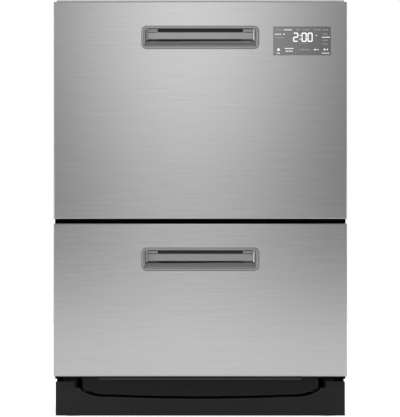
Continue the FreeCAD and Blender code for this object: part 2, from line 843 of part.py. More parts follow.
def wash_rotor(drawer):
    """The pump wheel on the sump's post, under the filter's dome."""
    z0 = drawer.floor - sump_depth + rotor_gap
    disc = turned(rotor_radius, Vector(0, tub_middle_y, z0), UP, 3)
    hub = turned(9, Vector(0, tub_middle_y, z0), UP, rotor_height)
    vanes = []
    for i in range(rotor_vanes):
        vane = box(7, rotor_radius - 2, -1, 1, z0 + 2, z0 + rotor_height - 9)
        vane.rotate(Vector(0, 0, 0), Vector(0, 0, 1), 360 / rotor_vanes * i)
        vanes.append(vane.translated(Vector(0, tub_middle_y, 0)))
    bore = bored(post_radius + turning_clearance, Vector(0, tub_middle_y, z0 - 1), UP, rotor_height + 2)
    return joined(disc, hub, *vanes).cut(bore)


def filter_plate(drawer):
    """The round filter over the sump, with a dome that carries water up to the spray arm."""
    z, middle = drawer.floor, tub_middle_y
    centre = Vector(0, middle, z)
    plate = turned(filter_radius, centre, UP, filter_sheet, 20)
    dome = turned(dome_radius, centre, UP, dome_height, 12)
    inside = turned(dome_radius - dome_wall, centre - Vector(0, 0, 1), UP, dome_height - dome_wall + 1, 12)
    mouth = turned(dome_mouth_radius, centre, UP, dome_height + 1)
    seat = bored(drain_filter_radius + panel_clearance, Vector(drain_offset_x, middle + drain_offset_y, z - 1), UP, 10)
    cutters = [inside, mouth, seat]
    for i in range(filter_slots):
        slot = box(dome_radius + 8, filter_radius - 14, -1.6, 1.6, z - 1, z + 5)
        slot.rotate(Vector(0, 0, 0), Vector(0, 0, 1), 360 / filter_slots * i)
        slot = slot.translated(Vector(0, middle, 0))
        if slot.distToShape(seat)[0] > 5:
            cutters.append(slot)
    return joined(plate, dome).cut(cutters)


def drain_filter(drawer):
    """The cup that lifts out of the filter plate after a quarter turn, with a bar to grip."""
    x, y, z = drain_offset_x, tub_middle_y + drain_offset_y, drawer.floor + filter_sheet + panel_clearance
    low = z - drain_well_depth
    flange = turned(drain_filter_radius + 3, Vector(x, y, z), UP, 2)
    cup = turned(drain_filter_radius, Vector(x, y, low), UP, drain_well_depth)
    hollow = turned(drain_filter_radius - 2, Vector(x, y, low + 2), UP, drain_well_depth + 1)
    bar = box(x - drain_filter_radius + 1, x + drain_filter_radius - 1, y - 2.5, y + 2.5, z - 6, z + 9)
    windows = [
        box(x - 9, x + 9, y - drain_filter_radius - 2, y + drain_filter_radius + 2, low + 5, z - 8),
    ]
    return joined(joined(flange, cup).cut([hollow] + windows), bar)


def spray_arm(drawer):
    """Two swept blades on a hub, with a row of jets in each blade."""
    z0 = drawer.floor + dome_height + panel_clearance
    top = z0 + spray_arm_height
    root, tip, reach, bevel = spray_arm_root, spray_arm_tip, spray_arm_reach, 3.0

    def outline(z, inset):
        a, b, end = root - inset, tip - inset, reach - inset
        half = [(0, -a), (reach * 0.45, -a * 0.98), (end - tip, -spray_arm_sweep - b), (end, -spray_arm_sweep)]
        half += [(end - tip * 0.4, -spray_arm_sweep + b), (reach * 0.4, a * 0.5), (0, a)]
        points = [Vector(u, v, z) for u, v in half]
        points += [Vector(-u, -v, z) for u, v in half[1:-1]]
        return Part.makePolygon(points + [points[0]])

    arm = Part.makeLoft([outline(z0, 0), outline(top - bevel, 0), outline(top, bevel)], True, True)
    hub = turned(spray_hub_radius, Vector(0, 0, z0), UP, spray_arm_height + 3, 12)
    cutters = [bored(post_radius + turning_clearance, Vector(0, 0, z0 - 1), UP, spray_arm_height + 9)]
    for turn in (0, 180):
        for x in spread(spray_hub_radius + 18, reach - 24, spray_nozzles):
            middle = -spray_arm_sweep * x / reach
            jet = box(x - 1.2, x + 1.2, middle - 4, middle + 4, top - 2, top + 1)
            jet.rotate(Vector(0, 0, 0), Vector(0, 0, 1), turn)
            cutters.append(jet)
    return joined(arm, hub).cut(cutters).translated(Vector(0, tub_middle_y, 0))


# Runners: three nested channels on each side of each drawer.
def channel(x_web, x_edge, half_height, z, y0):
    """A channel along Y with its web at x_web and its two flanges running to x_edge."""
    side = 1 if x_edge > x_web else -1
    x0, x1 = sorted((x_web, x_edge))
    body = box(x0, x1, y0, y0 + rail_length, z - half_height, z + half_height)
    hx0, hx1 = sorted((x_web + side * rail_sheet, x_edge + side))
    hollow = box(hx0, hx1, y0 - 1, y0 + rail_length + 1, z - half_height + rail_sheet, z + half_height - rail_sheet)
    return body.cut(hollow)


def rail_y():
    return chassis_front_y + rail_front_setback


def inner_rail_x():
    return side_inner_x - rail_open_edge - rail_sheet - 1.0


def outer_rail(drawer):
    return channel(side_inner_x, side_inner_x - rail_open_edge, rail_half_height, drawer.rail, rail_y())


def middle_rail(drawer):
    web = side_inner_x - rail_sheet - rail_gap
    half = rail_half_height - rail_sheet - rail_gap
    return channel(web, side_inner_x - rail_open_edge + rail_gap, half, drawer.rail, rail_y())


def inner_rail(drawer):
    edge = side_inner_x - 2 * (rail_sheet + rail_gap)
    half = rail_half_height - 2 * (rail_sheet + rail_gap)
    return channel(inner_rail_x(), edge, half, drawer.rail, rail_y())


# Lids: a ribbed plate above each tub, a seal under it and four lifts on the side panels.
def lid_ends():
    return chassis_front_y + lid_front_setback, tub_back_y + tub_rim_width


def lift_places():
    middle = tub_middle_y
    return (middle - lift_spacing / 2, middle + lift_spacing / 2)


def lid(drawer):
    y0, y1 = lid_ends()
    x = tub_half_width + tub_rim_width - 2
    z0 = drawer.lid_bottom
    z1 = z0 + lid_thickness
    slab = cornered_slab(-x, x, y0, y1, z0, z1, lid_corner_radius)
    cutters = []
    xs = spread(-x + lid_rib, x, lid_columns + 1)
    ys = spread(y0 + lid_rib, y1, lid_rows + 1)
    for x0, x1 in zip(xs, xs[1:]):
        for ya, yb in zip(ys, ys[1:]):
            cutters.append(box(x0, x1 - lid_rib, ya, yb - lid_rib, z0 + lid_plate, z1 + 1))
    inside = cornered_slab(-x + lid_rib, x - lid_rib, y0 + lid_rib, y1 - lid_rib, z0, z1 + 2, lid_corner_radius - lid_rib)
    lugs = []
    middle = (z0 + z1) / 2
    for y in lift_places():
        lug = box(x - 1, x + lug_reach, y - lug_length / 2, y + lug_length / 2, middle - lug_height / 2, middle + lug_height / 2)
        lugs += [lug, mirrored(lug)]
    return joined(slab.cut([c.common(inside) for c in cutters]), *lugs)


def lid_seal(drawer):
    x = tub_half_width - tub_wall / 2 + seal_width / 2
    y0 = tub_front_y + tub_wall / 2 - seal_width / 2
    y1 = tub_back_y - tub_wall / 2 + seal_width / 2
    z1 = drawer.lid_bottom
    z0 = z1 - seal_height
    r = tub_corner_radius
    w = seal_width
    ring = cornered_slab(-x, x, y0, y1, z0, z1, r)
    return ring.cut(cornered_slab(-x + w, x - w, y0 + w, y1 - w, z0 - 1, z1 + 1, r - w))


def lid_lifts():
    """Four small geared motors per lid pair, each with a slot that a lug of the lid runs in."""
    lifts = []
    lid_edge = tub_half_width + tub_rim_width - 2
    for drawer in (upper, lower):
        middle = drawer.lid_bottom + lid_thickness / 2
        x0 = side_inner_x - lift_thickness
        slot_x = lid_edge + lug_reach + panel_clearance
        for y in lift_places():
            low, high = middle - lug_height / 2 - lid_lift - 6, middle + lug_height / 2 + 5
            case = box(x0, side_inner_x, y - lift_length / 2, y + lift_length / 2, low, high)
            half = lug_length / 2 + panel_clearance
            slot_low = middle - lug_height / 2 - lid_lift - panel_clearance
            slot = box(x0 - 1, slot_x, y - half, y + half, slot_low, middle + lug_height / 2 + panel_clearance)
            lift = case.cut(slot)
            lifts += [lift, mirrored(lift)]
    return group(lifts)


# Racks and what they hold.
def rack_ends():
    return tub_front_y + tub_wall + rack_front_space, tub_back_y - tub_wall - rack_rear_space


def rim_loop(half, y0, y1, z, cut):
    """The rack's top wire, with each corner cut off at 45 degrees."""
    pieces = []
    for x in (-half, half):
        pieces.append(hex_wire(Vector(x, y0 + cut, z), BACK, y1 - y0 - 2 * cut))
    for y in (y0, y1):
        pieces.append(hex_wire(Vector(-half + cut, y, z), RIGHT, 2 * (half - cut)))
    length = cut * math.sqrt(2)
    for side in (-1, 1):
        for y, end in ((y0, -1), (y1, 1)):
            corner = hex_wire(Vector(0, 0, 0), RIGHT, length - wire * 1.2).translated(Vector(-length / 2 + wire * 0.6, 0, 0))
            corner.rotate(Vector(0, 0, 0), Vector(0, 0, 1), -45 * side * end)
            pieces.append(corner.translated(Vector(side * (half - cut / 2), y - end * cut / 2, z)))
    return pieces


def rack_grid():
    y0, y1 = rack_ends()
    half = rack_half_width
    xs = spread(-half + wire / 2, half - wire / 2, rack_long_count)
    ys = spread(y0 + rack_corner + 10, y1 - rack_corner - 10, rack_cross_count)
    return xs, ys


def fixed_tine_rows():
    ys = rack_grid()[1]
    return (ys[-1], ys[-3])


def folding_tine_y():
    ys = rack_grid()[1]
    return (ys[-5] + ys[-4]) / 2


def tine_places():
    """Across the rack: the tines stand between the long wires of the middle field."""
    half = rack_half_width - cup_shelf_width - tine_row_margin * 0.25
    return spread(-half, half, tine_count)


def base_rack(drawer):
    """Crossed wires welded in two layers, upright side wires, a top loop, two rows of standing tines
    and the saddles that the folding pieces turn in."""
    y0, y1 = rack_ends()
    half = rack_half_width
    xs, ys = rack_grid()
    low = drawer.rack + wire / 2
    high = low + wire
    pieces = [hex_wire(Vector(x, y0, low), BACK, y1 - y0) for x in xs]
    pieces += [hex_wire(Vector(-half, y, high), RIGHT, 2 * half) for y in ys]
    rim_z = drawer.rack + drawer.rack_side
    side_x = half - wire / 2
    for y in ys[::2]:
        for x in (-side_x, side_x):
            pieces.append(upright_wire(x, y, high + wire / 2, rim_z - high - wire))
    for x in xs[1:-1:2]:
        for y in (y0 + wire / 2, y1 - wire / 2):
            pieces.append(upright_wire(x, y, low + wire / 2, rim_z - low - wire))
    pieces += rim_loop(side_x, y0 + wire / 2, y1 - wire / 2, rim_z, rack_corner)
    for y in fixed_tine_rows():
        for x in tine_places():
            pieces.append(upright_wire(x, y, high + wire / 2, drawer.tine_height))
    pieces += tine_saddles(drawer)
    if drawer is upper:
        pieces += shelf_saddles(drawer)
    return group(pieces)


def saddle(across, along_x, x, y, z):
    """A U-shaped clip, open at the top, that a hinge rod lies in. z is the height that it stands on."""
    rod = hinge_rod_radius + panel_clearance
    outer = rod + saddle_wall
    height = saddle_wall + 2 * rod
    if along_x:
        body = box(x, x + across, y - outer, y + outer, z, z + height)
        groove = box(x - 1, x + across + 1, y - rod, y + rod, z + saddle_wall, z + height + 1)
    else:
        body = box(x - outer, x + outer, y, y + across, z, z + height)
        groove = box(x - rod, x + rod, y - 1, y + across + 1, z + saddle_wall, z + height + 1)
    return body.cut(groove)


def rod_height(z):
    """The middle of a hinge rod in a saddle that stands on z."""
    return z + saddle_wall + panel_clearance + hinge_rod_radius


def tine_clip_places():
    """The long wires that the folding row is clipped to: the outermost that it can reach, and the middle one."""
    reach = tine_places()[-1] + hinge_rod_overhang
    xs = [x for x in rack_grid()[0] if abs(x) < reach]
    return [xs[0], xs[len(xs) // 2], xs[-1]]


def tine_saddles(drawer):
    top = drawer.rack + 2 * wire
    y = folding_tine_y()
    half = saddle_length / 4
    pieces = []
    for x in tine_clip_places():
        foot = box(x - half, x + half, y - wire, y + wire, drawer.rack + wire, top)
        pieces.append(joined(foot, saddle(2 * half, True, x - half, y, top)))
    return pieces


def folding_tines(drawer):
    """A rod across the rack with a row of tines that lies down flat."""
    z = rod_height(drawer.rack + 2 * wire)
    y = folding_tine_y()
    places = tine_places()
    clips = tine_clip_places()
    ends = clips[-1] + saddle_length / 2
    pieces = [cross_rod(hinge_rod_radius, y, z, -ends, ends)]
    flat = z + hinge_rod_radius
    for x in places:
        pieces.append(upright_wire(x, y, flat, drawer.tine_height))
    return group(pieces)


def shelf_rim_z(drawer):
    return drawer.rack + drawer.rack_side + wire / 2


def shelf_saddles(drawer):
    """Two clips per cup shelf on the rack's top wires."""
    z = shelf_rim_z(drawer)
    x = rack_half_width - wire / 2
    y0 = shelf_y0()
    pieces = []
    for y in (y0 + 30, y0 + cup_shelf_length - 30 - saddle_length):
        clip = saddle(saddle_length, False, x, y, z)
        pieces += [clip, mirrored(clip)]
    return pieces


def shelf_y0():
    y0, y1 = rack_ends()
    return (y0 + y1) / 2 - cup_shelf_length / 2


def cup_shelf(drawer):
    """The right-hand folding shelf: a slotted moulding with notches for stems along its free edge."""
    z = rod_height(shelf_rim_z(drawer))
    x_pin = rack_half_width - wire / 2
    y0 = shelf_y0()
    y1 = y0 + cup_shelf_length
    reach = hinge_rod_radius + panel_clearance + saddle_wall + 1.2
    t = cup_shelf_thickness / 2
    x0 = x_pin - cup_shelf_width
    plate = cornered_slab(x0, x_pin - reach, y0 + 6, y1 - 6, z - t, z + t, 8.0, 2)
    rod = prism(6, hinge_rod_radius, Vector(x_pin, y0, z), BACK, cup_shelf_length)
    arms = []
    for y in (y0 + 8, (y0 + y1) / 2 - 6, y1 - 20):
        arms.append(box(x_pin - reach - 3, x_pin, y, y + 12, z - t * 0.8, z + t * 0.8))
    cutters = []
    ys = spread(y0 + 18, y1 - 18, cup_shelf_slots + 1)
    for a, b in zip(ys, ys[1:]):
        cutters.append(box(x0 + 38, x_pin - reach - 8, a + 4, b - 4, z - 9, z + 9))
    depth = glass_notch_radius
    for y in spread(ys[1], ys[-2], glass_notches):
        points = [
            Vector(x0 - 1, y - depth, z - 9),
            Vector(x0 + depth * 1.4, y - depth * 0.5, z - 9),
            Vector(x0 + depth * 1.9, y, z - 9),
            Vector(x0 + depth * 1.4, y + depth * 0.5, z - 9),
            Vector(x0 - 1, y + depth, z - 9),
        ]
        cutters.append(polygon(points).extrude(Vector(0, 0, 18)))
    return joined(plate, rod, *arms).cut(cutters)


def cutlery_basket(drawer):
    """A slotted box with a carrying arch, standing on the rack in front of the tines."""
    y0 = rack_ends()[0] + wire + 4
    y1 = y0 + basket_width
    z0 = drawer.rack + 2 * wire
    z1 = z0 + basket_height
    half, w = basket_length / 2, basket_wall
    outer = cornered_slab(-half, half, y0, y1, z0, z1, basket_corner_radius)
    inner = cornered_slab(-half + w, half - w, y0 + w, y1 - w, z0 + w, z1 + 1, basket_corner_radius - w)
    cutters = [inner]
    for x in spread(-half + 18, half - 18, basket_slots):
        cutters.append(box(x - 4, x + 4, y0 - 1, y1 + 1, z0 + 14, z1 - 18))
    middle = (y0 + y1) / 2
    arch = box(-half, half, middle - 3, middle + 3, z1 - 12, z1 + basket_arch_height)
    under = front_slab(-half + 7, half - 7, middle - 4, middle + 4, z1 - 40, z1 + basket_arch_height - 6, 16.0)
    return joined(outer.cut(cutters), arch.cut(under))


def dispenser_box(drawer):
    z1 = drawer.rim - dispenser_below_rim
    return -dispenser_width / 2, dispenser_width / 2, tub_front_y + tub_wall, z1 - dispenser_height, z1


def door_pin(drawer):
    """Centre of the dispenser door's pin, and the door's left edge."""
    x0, _, y, z0, _ = dispenser_box(drawer)
    return x0 + 12, y + dispenser_depth + door_thickness / 2 + panel_clearance, z0 + 9


def dispenser(drawer):
    """The detergent cup and the rinse-aid tank's neck, one moulding on the tub's front wall."""
    x0, x1, y, z0, z1 = dispenser_box(drawer)
    front = y + dispenser_depth
    body = front_slab(x0, x1, y, front, z0, z1, dispenser_radius)
    door_x, pin_y, pin_z = door_pin(drawer)
    cup = box(door_x + 5, door_x + door_width - 5, y + 3, front + 1, pin_z + 6, pin_z + door_height - 5)
    cap_x, cap_z = cap_place(drawer)
    neck = bored(cap_plug_radius + panel_clearance, Vector(cap_x, y + 3, cap_z), BACK, dispenser_depth)
    ears = []
    for x in (door_x - 4 - panel_clearance, door_x + door_width + panel_clearance):
        ears.append(box(x, x + 4, front - 1, pin_y + 4, pin_z - 4, pin_z + 4))
    bore = bored(door_pin_radius + turning_clearance, Vector(x0 - 1, pin_y, pin_z), RIGHT, dispenser_width + 2, 8)
    relief = box(door_x - 0.4, door_x + door_width + 0.4, front - 2, front + 1, pin_z - 4, pin_z + 4)
    return joined(body, *ears).cut([cup, neck, bore, relief])


def cap_place(drawer):
    x0, x1, _, z0, z1 = dispenser_box(drawer)
    return x1 - cap_radius - 12, (z0 + z1) / 2


def dispenser_door(drawer):
    x, y, z = door_pin(drawer)
    t = door_thickness / 2
    plate = box(x, x + door_width, y - t, y + t, z - t * 0.8, z + door_height)
    reach = 4 + panel_clearance
    pin = cross_rod(door_pin_radius, y, z, x - reach, x + door_width + reach)
    latch = box(x + door_width / 2 - 8, x + door_width / 2 + 8, y, y + t + 2, z + door_height - 9, z + door_height - 4)
    return joined(plate, pin, latch)


def rinse_cap(drawer):
    """The cap of the rinse-aid tank: a plug, a disc and a grip across it."""
    x, z = cap_place(drawer)
    y = dispenser_box(drawer)[2] + dispenser_depth + panel_clearance
    plug = turned(cap_plug_radius, Vector(x, y - 7, z), BACK, 7)
    disc = turned(cap_radius, Vector(x, y, z), BACK, 2)
    grip = box(x - cap_radius + 3, x + cap_radius - 3, y, y + cap_depth + 2, z - 2, z + 2)
    return joined(plug, disc, grip)


# Water and power fittings in the pocket of the back panel.
def fitting_plane():
    return rear_sheet_y - service_depth


def inlet_valve():
    x, z, neck = service_fittings()[0]
    y = fitting_plane()
    body = box(x - 17, x + 17, y - 20, y, z - 15, z + 15)
    coil = turned(9, Vector(x, y - 10, z + 14), UP, 20)
    through = turned(neck, Vector(x, y - 1, z), BACK, sheet + 4)
    spigot = depth_rod(inlet_radius, x, z, y + sheet + 2, y + sheet + 2 + inlet_length)
    bore = bored(inlet_radius - 5, Vector(x, y - 4, z), BACK, 64)
    return joined(body, coil, through, spigot).cut(bore)


def drain_spigot():
    x, z, neck = service_fittings()[1]
    y = fitting_plane()
    elbow = box(x - 13, x + 13, y - 26, y, z - 13, z + 13)
    through = turned(neck, Vector(x, y - 1, z), BACK, sheet + 4)
    tube = depth_rod(drain_radius, x, z, y + sheet + panel_clearance, y + sheet + 2 + drain_length)
    bore = bored(drain_radius - 3, Vector(x, y - 6, z), BACK, 66)
    return joined(elbow, through, tube).cut(bore)


def cord_gland():
    x, z, neck = service_fittings()[2]
    y = fitting_plane()
    nut = prism(6, gland_radius, Vector(x, y - 5, z), BACK, 5)
    through = turned(neck, Vector(x, y - 1, z), BACK, sheet + 2)
    body = prism(6, gland_radius, Vector(x, y + sheet, z), BACK, 7)
    nose = turned(gland_radius * 0.75, Vector(x, y + sheet + 7, z), BACK, gland_length - 7)
    bore = depth_rod(gland_bore, x, z, y - 8, y + 60)
    return joined(nut, through, body, nose).cut(bore)


def build():
    nodes = {
        "side_panel_right": side_panel(),
        "side_panel_left": mirrored(side_panel()),
        "top_panel": top_panel(),
        "rear_panel": rear_panel(),
        "base_pan": base_pan(),
        "front_trim": front_trim(),
        "toe_kick": toe_kick(),
        "case_screws": case_screws(),
        "inlet_valve": inlet_valve(),
        "drain_spigot": drain_spigot(),
        "cord_gland": cord_gland(),
        "outer_rails": group([both_sides(outer_rail(d)) for d in (upper, lower)]),
        "lid_lifts": lid_lifts(),
        "upper_display_window": display_window(),
        "upper_control_module": control_module(),
        "upper_cup_shelf_right": cup_shelf(upper),
        "upper_cup_shelf_left": mirrored(cup_shelf(upper)),
        "upper_cutlery_basket": cutlery_basket(upper),
        "lower_apron": lower_apron(),
    }
    for place, (x, y) in foot_places().items():
        nodes["foot_" + place] = screw_foot(x, y)
    for drawer in (upper, lower):
        pieces = {
            "front_panel": front_panel(drawer),
            "front_frame": group([front_frame(drawer), front_spacer(drawer)]),
            "handle": handle(drawer),
            "tub": group(tub(drawer) + [spray_post(drawer)] + rack_rests(drawer)),
            "wash_motor": wash_motor(drawer),
            "wash_rotor": wash_rotor(drawer),
            "filter_plate": filter_plate(drawer),
            "drain_filter": drain_filter(drawer),
            "spray_arm": spray_arm(drawer),
            "inner_rails": both_sides(inner_rail(drawer)),
            "middle_rails": both_sides(middle_rail(drawer)),
            "lid": lid(drawer),
            "lid_seal": lid_seal(drawer),
            "base_rack": base_rack(drawer),
            "folding_tines": folding_tines(drawer),
            "dispenser": dispenser(drawer),
            "dispenser_door": dispenser_door(drawer),
            "rinse_cap": rinse_cap(drawer),
        }
        for name, shape in pieces.items():
            nodes[drawer.name + "_" + name] = shape
    return nodes


os.makedirs("parts", exist_ok=True)
for name, shape in build().items():
    shape.exportStep("parts/" + name + ".step")
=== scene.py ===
import json
import math

import bmesh
import bpy
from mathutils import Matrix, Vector

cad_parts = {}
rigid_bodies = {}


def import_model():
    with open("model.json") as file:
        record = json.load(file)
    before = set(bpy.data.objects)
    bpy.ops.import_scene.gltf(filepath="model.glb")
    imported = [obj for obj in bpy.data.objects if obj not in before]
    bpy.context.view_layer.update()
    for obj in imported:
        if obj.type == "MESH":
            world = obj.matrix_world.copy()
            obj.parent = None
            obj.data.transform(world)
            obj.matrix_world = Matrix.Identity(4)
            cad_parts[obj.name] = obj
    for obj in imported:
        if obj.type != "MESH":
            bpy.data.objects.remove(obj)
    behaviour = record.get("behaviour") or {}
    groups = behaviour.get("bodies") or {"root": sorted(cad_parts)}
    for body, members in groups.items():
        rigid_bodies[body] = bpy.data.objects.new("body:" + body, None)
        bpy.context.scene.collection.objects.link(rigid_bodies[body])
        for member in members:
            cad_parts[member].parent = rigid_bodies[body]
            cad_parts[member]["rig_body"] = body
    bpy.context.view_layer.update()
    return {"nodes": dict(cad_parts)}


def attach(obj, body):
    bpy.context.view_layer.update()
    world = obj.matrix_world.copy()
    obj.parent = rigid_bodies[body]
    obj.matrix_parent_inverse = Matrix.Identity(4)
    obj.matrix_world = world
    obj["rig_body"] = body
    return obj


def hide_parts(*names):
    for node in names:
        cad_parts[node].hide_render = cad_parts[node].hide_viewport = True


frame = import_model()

MM = 0.001
scene = bpy.context.scene


# Camera. It stands far in front of the machine at half its height and looks straight at it,
# so the picture is filled from the floor to the top of the cabinet.
camera_height = 424.6
camera_distance = 9000.0
camera_shift = -0.6
face_y = -285.5
picture_width = 815.8
sensor_width = 36.0

lens = bpy.data.cameras.new("camera")
camera = bpy.data.objects.new("camera", lens)
scene.collection.objects.link(camera)
camera.location = Vector((camera_shift, face_y - camera_distance, camera_height)) * MM
camera.rotation_euler = (math.radians(90), 0, 0)
lens.sensor_fit = "HORIZONTAL"
lens.sensor_width = sensor_width
lens.lens = sensor_width * camera_distance / picture_width
lens.clip_end = 60
scene.camera = camera


# Studio. A pale floor, a white background, two soft lamps, a reflector wall and a card. The last
# two stand where only reflections see them, and the wall gives the brushed steel its gradient.
def linear(code):
    """A colour written as sRGB hex, as the linear values that Blender's sockets take."""
    values = [int(code[i : i + 2], 16) / 255 for i in (1, 3, 5)]
    return tuple(v / 12.92 if v <= 0.04045 else ((v + 0.055) / 1.055) ** 2.4 for v in values) + (1,)


def add_node(tree, kind, inputs=None, **settings):
    """Adds a node, sets its properties, and links or sets each named input."""
    made = tree.nodes.new(kind)
    for name, value in settings.items():
        setattr(made, name, value)
    for name, value in (inputs or {}).items():
        if isinstance(value, bpy.types.NodeSocket):
            tree.links.new(value, made.inputs[name])
        else:
            made.inputs[name].default_value = value
    return made


def leave_and_deselect():
    if bpy.context.object and bpy.context.object.mode != "OBJECT":
        bpy.ops.object.mode_set(mode="OBJECT")
    bpy.ops.object.select_all(action="DESELECT")


def activate(piece):
    leave_and_deselect()
    piece.select_set(True)
    bpy.context.view_layer.objects.active = piece


scene.view_settings.view_transform = "Standard"

world = bpy.data.worlds.new("white_studio")
scene.world = world
world.use_nodes = True
tree = world.node_tree
tree.nodes.clear()
# The camera, reflections and glass see pure white. The light that it casts is a little dimmer.
rays = add_node(tree, "ShaderNodeLightPath")
seen = 0.0
for ray in ("Is Camera Ray", "Is Glossy Ray", "Is Transmission Ray"):
    either = add_node(tree, "ShaderNodeMath", {0: seen, 1: rays.outputs[ray]}, operation="MAXIMUM")
    seen = either.outputs[0]
room_light = 0.72
strength = add_node(tree, "ShaderNodeMapRange", {"Value": seen, "To Min": room_light, "To Max": 1.0})
white = {"Color": linear("#FFFFFF"), "Strength": strength.outputs[0]}
backdrop = add_node(tree, "ShaderNodeBackground", white)
add_node(tree, "ShaderNodeOutputWorld", {"Surface": backdrop.outputs[0]})

leave_and_deselect()
bpy.ops.mesh.primitive_plane_add(size=14)
floor = bpy.context.object
floor.name = "studio_floor"
paper = bpy.data.materials.new("white_paper_floor")
paper.use_nodes = True
tree = paper.node_tree
shader = tree.nodes["Principled BSDF"]
shader.inputs["Base Color"].default_value = linear("#E6E6E6")
shader.inputs["Roughness"].default_value = 0.9
shader.inputs["Specular IOR Level"].default_value = 0.1
shader.inputs["Emission Color"].default_value = linear("#FFFFFF")
rays = add_node(tree, "ShaderNodeLightPath")
floor_glow = 0.6
lit = add_node(
    tree, "ShaderNodeMath", {0: rays.outputs["Is Camera Ray"], 1: floor_glow}, operation="MULTIPLY"
)
tree.links.new(lit.outputs[0], shader.inputs["Emission Strength"])
floor.data.materials.append(paper)

machine_middle = Vector((0, 0, 0.45))
softboxes = [
    ("front_softbox", (-1.2, -3.4, 3.2), 46),
    ("rear_softbox", (1.6, 3.0, 3.4), 30),
]
for name, place, power in softboxes:
    light = bpy.data.lights.new(name, "AREA")
    light.shape = "RECTANGLE"
    light.size = 2.4
    light.size_y = 1.8
    light.energy = power
    lamp = bpy.data.objects.new(name, light)
    scene.collection.objects.link(lamp)
    lamp.location = place
    lamp.rotation_euler = (machine_middle - Vector(place)).to_track_quat("-Z", "Y").to_euler()
    lamp.visible_glossy = False

leave_and_deselect()
bpy.ops.mesh.primitive_plane_add(size=1, location=(0, -1.75, 1.8), rotation=(math.radians(90), 0, 0))
wall = bpy.context.object
wall.name = "reflector_wall"
wall.scale = (4.0, 4.0, 1)
bpy.ops.object.transform_apply()
graded = bpy.data.materials.new("graded_reflector_cloth")
graded.use_nodes = True
tree = graded.node_tree
tree.nodes.clear()
coords = add_node(tree, "ShaderNodeTexCoord")
place = add_node(tree, "ShaderNodeSeparateXYZ", {0: coords.outputs["Object"]})
height = place.outputs["Z"]
patch_shift = 0.03
shifted = add_node(tree, "ShaderNodeMath", {0: place.outputs["X"], 1: patch_shift}, operation="ADD")
across = add_node(tree, "ShaderNodeMath", {0: shifted.outputs[0]}, operation="ABSOLUTE")

# The cloth is bright along its foot. Above that it has one soft patch in the middle, which gets
# wider and brighter upwards, and it fades out at the sides and the top.
dim = 0.16
patch_width = add_node(
    tree, "ShaderNodeMapRange",
    {"Value": height, "From Min": 0.30, "From Max": 0.80, "To Min": 0.40, "To Max": 0.52},
    interpolation_type="SMOOTHSTEP",
)
patch = add_node(
    tree, "ShaderNodeMapRange",
    {"Value": across.outputs[0], "From Max": patch_width.outputs[0], "To Min": 1.0, "To Max": 0.0},
    interpolation_type="SMOOTHSTEP",
)
patch_light = add_node(
    tree, "ShaderNodeMapRange",
    {"Value": height, "From Min": 0.27, "From Max": 0.85, "To Min": 0.49, "To Max": 1.16},
    interpolation_type="SMOOTHSTEP",
)
upper_part = add_node(
    tree, "ShaderNodeMapRange",
    {"Value": patch.outputs[0], "To Min": dim, "To Max": patch_light.outputs[0]},
)
with_foot = add_node(
    tree, "ShaderNodeMapRange",
    {"Value": height, "From Max": 0.33, "To Min": 1.27, "To Max": upper_part.outputs[0]},
    interpolation_type="SMOOTHSTEP",
)
whole = add_node(
    tree, "ShaderNodeMapRange",
    {"Value": height, "From Min": 1.3, "From Max": 2.1, "To Min": with_foot.outputs[0], "To Max": dim},
    interpolation_type="SMOOTHSTEP",
)
glow = add_node(tree, "ShaderNodeEmission", {"Strength": whole.outputs[0]})
add_node(tree, "ShaderNodeOutputMaterial", {"Surface": glow.outputs[0]})
wall.data.materials.append(graded)

# A narrow white card stands at the left. Edges and slopes that face it show it as a bright line.
leave_and_deselect()
bpy.ops.mesh.primitive_plane_add(
    size=1, location=(-1.2, -1.35, 0.8), rotation=(math.radians(90), 0, math.radians(-50))
)
card = bpy.context.object
card.name = "side_card"
card.scale = (0.6, 1.5, 1)
bpy.ops.object.transform_apply()
white_card = bpy.data.materials.new("white_card")
white_card.use_nodes = True
tree = white_card.node_tree
tree.nodes.clear()
card_strength = 3.0
glow = add_node(tree, "ShaderNodeEmission", {"Strength": card_strength})
add_node(tree, "ShaderNodeOutputMaterial", {"Surface": glow.outputs[0]})
card.data.materials.append(white_card)
for reflector in (wall, card):
    reflector.visible_camera = False
    reflector.visible_diffuse = False
    reflector.visible_shadow = False
    reflector.visible_transmission = False
    reflector.visible_volume_scatter = False


# Cabinet. Two sides, a top, a back and a base pan, folded from 1 mm zinc-coated steel sheet with
# pressed stiffening beads. The zinc freezes in large flat crystals that catch the light unevenly.
def surface(name, dark, light, grain, rough, relief=0.0, kind="ShaderNodeTexNoise", channel=0, **sockets):
    """A material whose colour, roughness and relief follow one pattern on the object's coordinates.
    Grain is the pattern's size along X, Y and Z and relief its height, in millimetres."""
    material = bpy.data.materials.new(name)
    material.use_nodes = True
    tree = material.node_tree
    shader = tree.nodes["Principled BSDF"]
    for socket, value in sockets.items():
        shader.inputs[socket.replace("_", " ")].default_value = value
    coords = add_node(tree, "ShaderNodeTexCoord")
    scale = [1000 / size for size in grain]
    sized = add_node(tree, "ShaderNodeMapping", {"Vector": coords.outputs["Object"], "Scale": scale})
    texture = add_node(tree, kind, {"Vector": sized.outputs[0], "Scale": 1.0})
    value = texture.outputs[channel]
    tones = add_node(tree, "ShaderNodeMix", {"Factor": value}, data_type="RGBA")
    tones.inputs[6].default_value = linear(dark)
    tones.inputs[7].default_value = linear(light)
    tree.links.new(tones.outputs[2], shader.inputs["Base Color"])
    gloss = add_node(tree, "ShaderNodeMapRange", {"Value": value, "To Min": rough[0], "To Max": rough[1]})
    tree.links.new(gloss.outputs[0], shader.inputs["Roughness"])
    if relief:
        raised = add_node(tree, "ShaderNodeBump", {"Height": value, "Distance": relief * MM})
        tree.links.new(raised.outputs[0], shader.inputs["Normal"])
    return material


